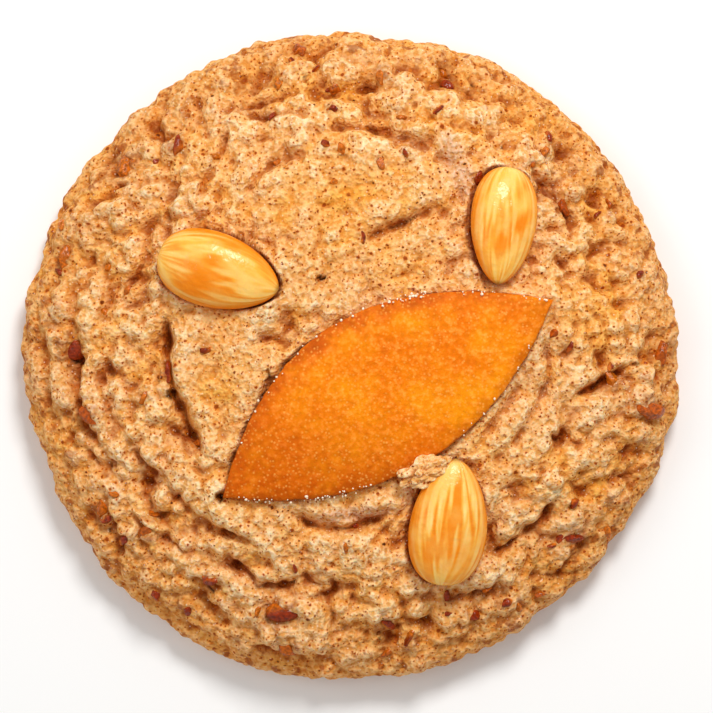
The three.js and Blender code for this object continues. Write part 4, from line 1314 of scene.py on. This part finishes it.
class LEBKUCHEN_OT_stage(bpy.types.Operator):
    """Sets the pale floor, the soft lights and the camera straight above."""

    bl_idname = "lebkuchen.stage"
    bl_label = "Stage"

    def execute(self, context):
        stage = context.scene.lebkuchen_stage
        scene = context.scene
        corners = np.array([[-1, -1, 0], [1, -1, 0], [1, 1, 0], [-1, 1, 0]]) * FLOOR_HALF * MM
        mesh = bpy.data.meshes.new("floor")
        mesh.from_pydata(corners.tolist(), [], [(0, 1, 2, 3)])
        material, tree, _, _ = new_material("white_card")
        shader = wire(tree, "BsdfPrincipled", {"Base Color": stage.floor, "Roughness": 0.9})
        wire(tree, "OutputMaterial", shader)
        mesh.materials.append(material)
        floor = bpy.data.objects.new("floor", mesh)
        scene.collection.objects.link(floor)

        world = bpy.data.worlds.new("studio")
        world.use_nodes = True
        background = world.node_tree.nodes["Background"]
        background.inputs["Color"].default_value = (1, 1, 1, 1)
        background.inputs["Strength"].default_value = stage.fill
        scene.world = world

        target = Vector((0, 0, 10 * MM))
        for name, place, size, share in LIGHTS:
            light = bpy.data.lights.new(name, "AREA")
            light.shape = "DISK"
            light.size = size
            light.energy = share * stage.key_power
            lamp = bpy.data.objects.new(name, light)
            lamp.location = place
            lamp.rotation_euler = (target - Vector(place)).to_track_quat("-Z", "Y").to_euler()
            scene.collection.objects.link(lamp)

        camera = bpy.data.cameras.new("camera")
        camera.sensor_width = 36
        seen = BISCUIT_WIDTH * MM * PICTURE_WIDTH / PICTURED_BISCUIT
        camera.lens = camera.sensor_width * (stage.camera_height - RIM_HEIGHT * MM) / seen
        eye = bpy.data.objects.new("camera", camera)
        eye.location = (CAMERA_X * MM, CAMERA_Y * MM, stage.camera_height)
        scene.collection.objects.link(eye)
        scene.camera = eye
        scene.view_settings.view_transform = "Standard"
        return {"FINISHED"}


class LEBKUCHEN_PT_parts(bpy.types.Panel):
    """Lists the steps that build the biscuit."""

    bl_label = "Lebkuchen"
    bl_space_type = "VIEW_3D"
    bl_region_type = "UI"
    bl_category = "Lebkuchen"

    def draw(self, context):
        for step in STEPS:
            self.layout.operator(step.bl_idname)


SETTINGS = {
    "lebkuchen_dough": LEBKUCHEN_PG_dough,
    "lebkuchen_chips": LEBKUCHEN_PG_chips,
    "lebkuchen_almonds": LEBKUCHEN_PG_almonds,
    "lebkuchen_leaf": LEBKUCHEN_PG_leaf,
    "lebkuchen_stage": LEBKUCHEN_PG_stage,
}
STEPS = (
    LEBKUCHEN_OT_stage,
    LEBKUCHEN_OT_dough,
    LEBKUCHEN_OT_chips,
    LEBKUCHEN_OT_crumb,
    LEBKUCHEN_OT_almonds,
    LEBKUCHEN_OT_leaf,
    LEBKUCHEN_OT_sugar,
)


def register():
    for kind in (*SETTINGS.values(), *STEPS, LEBKUCHEN_PT_parts):
        bpy.utils.register_class(kind)
    for name, kind in SETTINGS.items():
        setattr(bpy.types.Scene, name, PointerProperty(type=kind))


def unregister():
    for name in SETTINGS:
        delattr(bpy.types.Scene, name)
    for kind in (LEBKUCHEN_PT_parts, *reversed(STEPS), *SETTINGS.values()):
        bpy.utils.unregister_class(kind)


def main():
    register()
    for step in STEPS:
        group, action = step.bl_idname.split(".")
        getattr(getattr(bpy.ops, group), action)()
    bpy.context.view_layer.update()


if __name__ == "__main__":
    main()
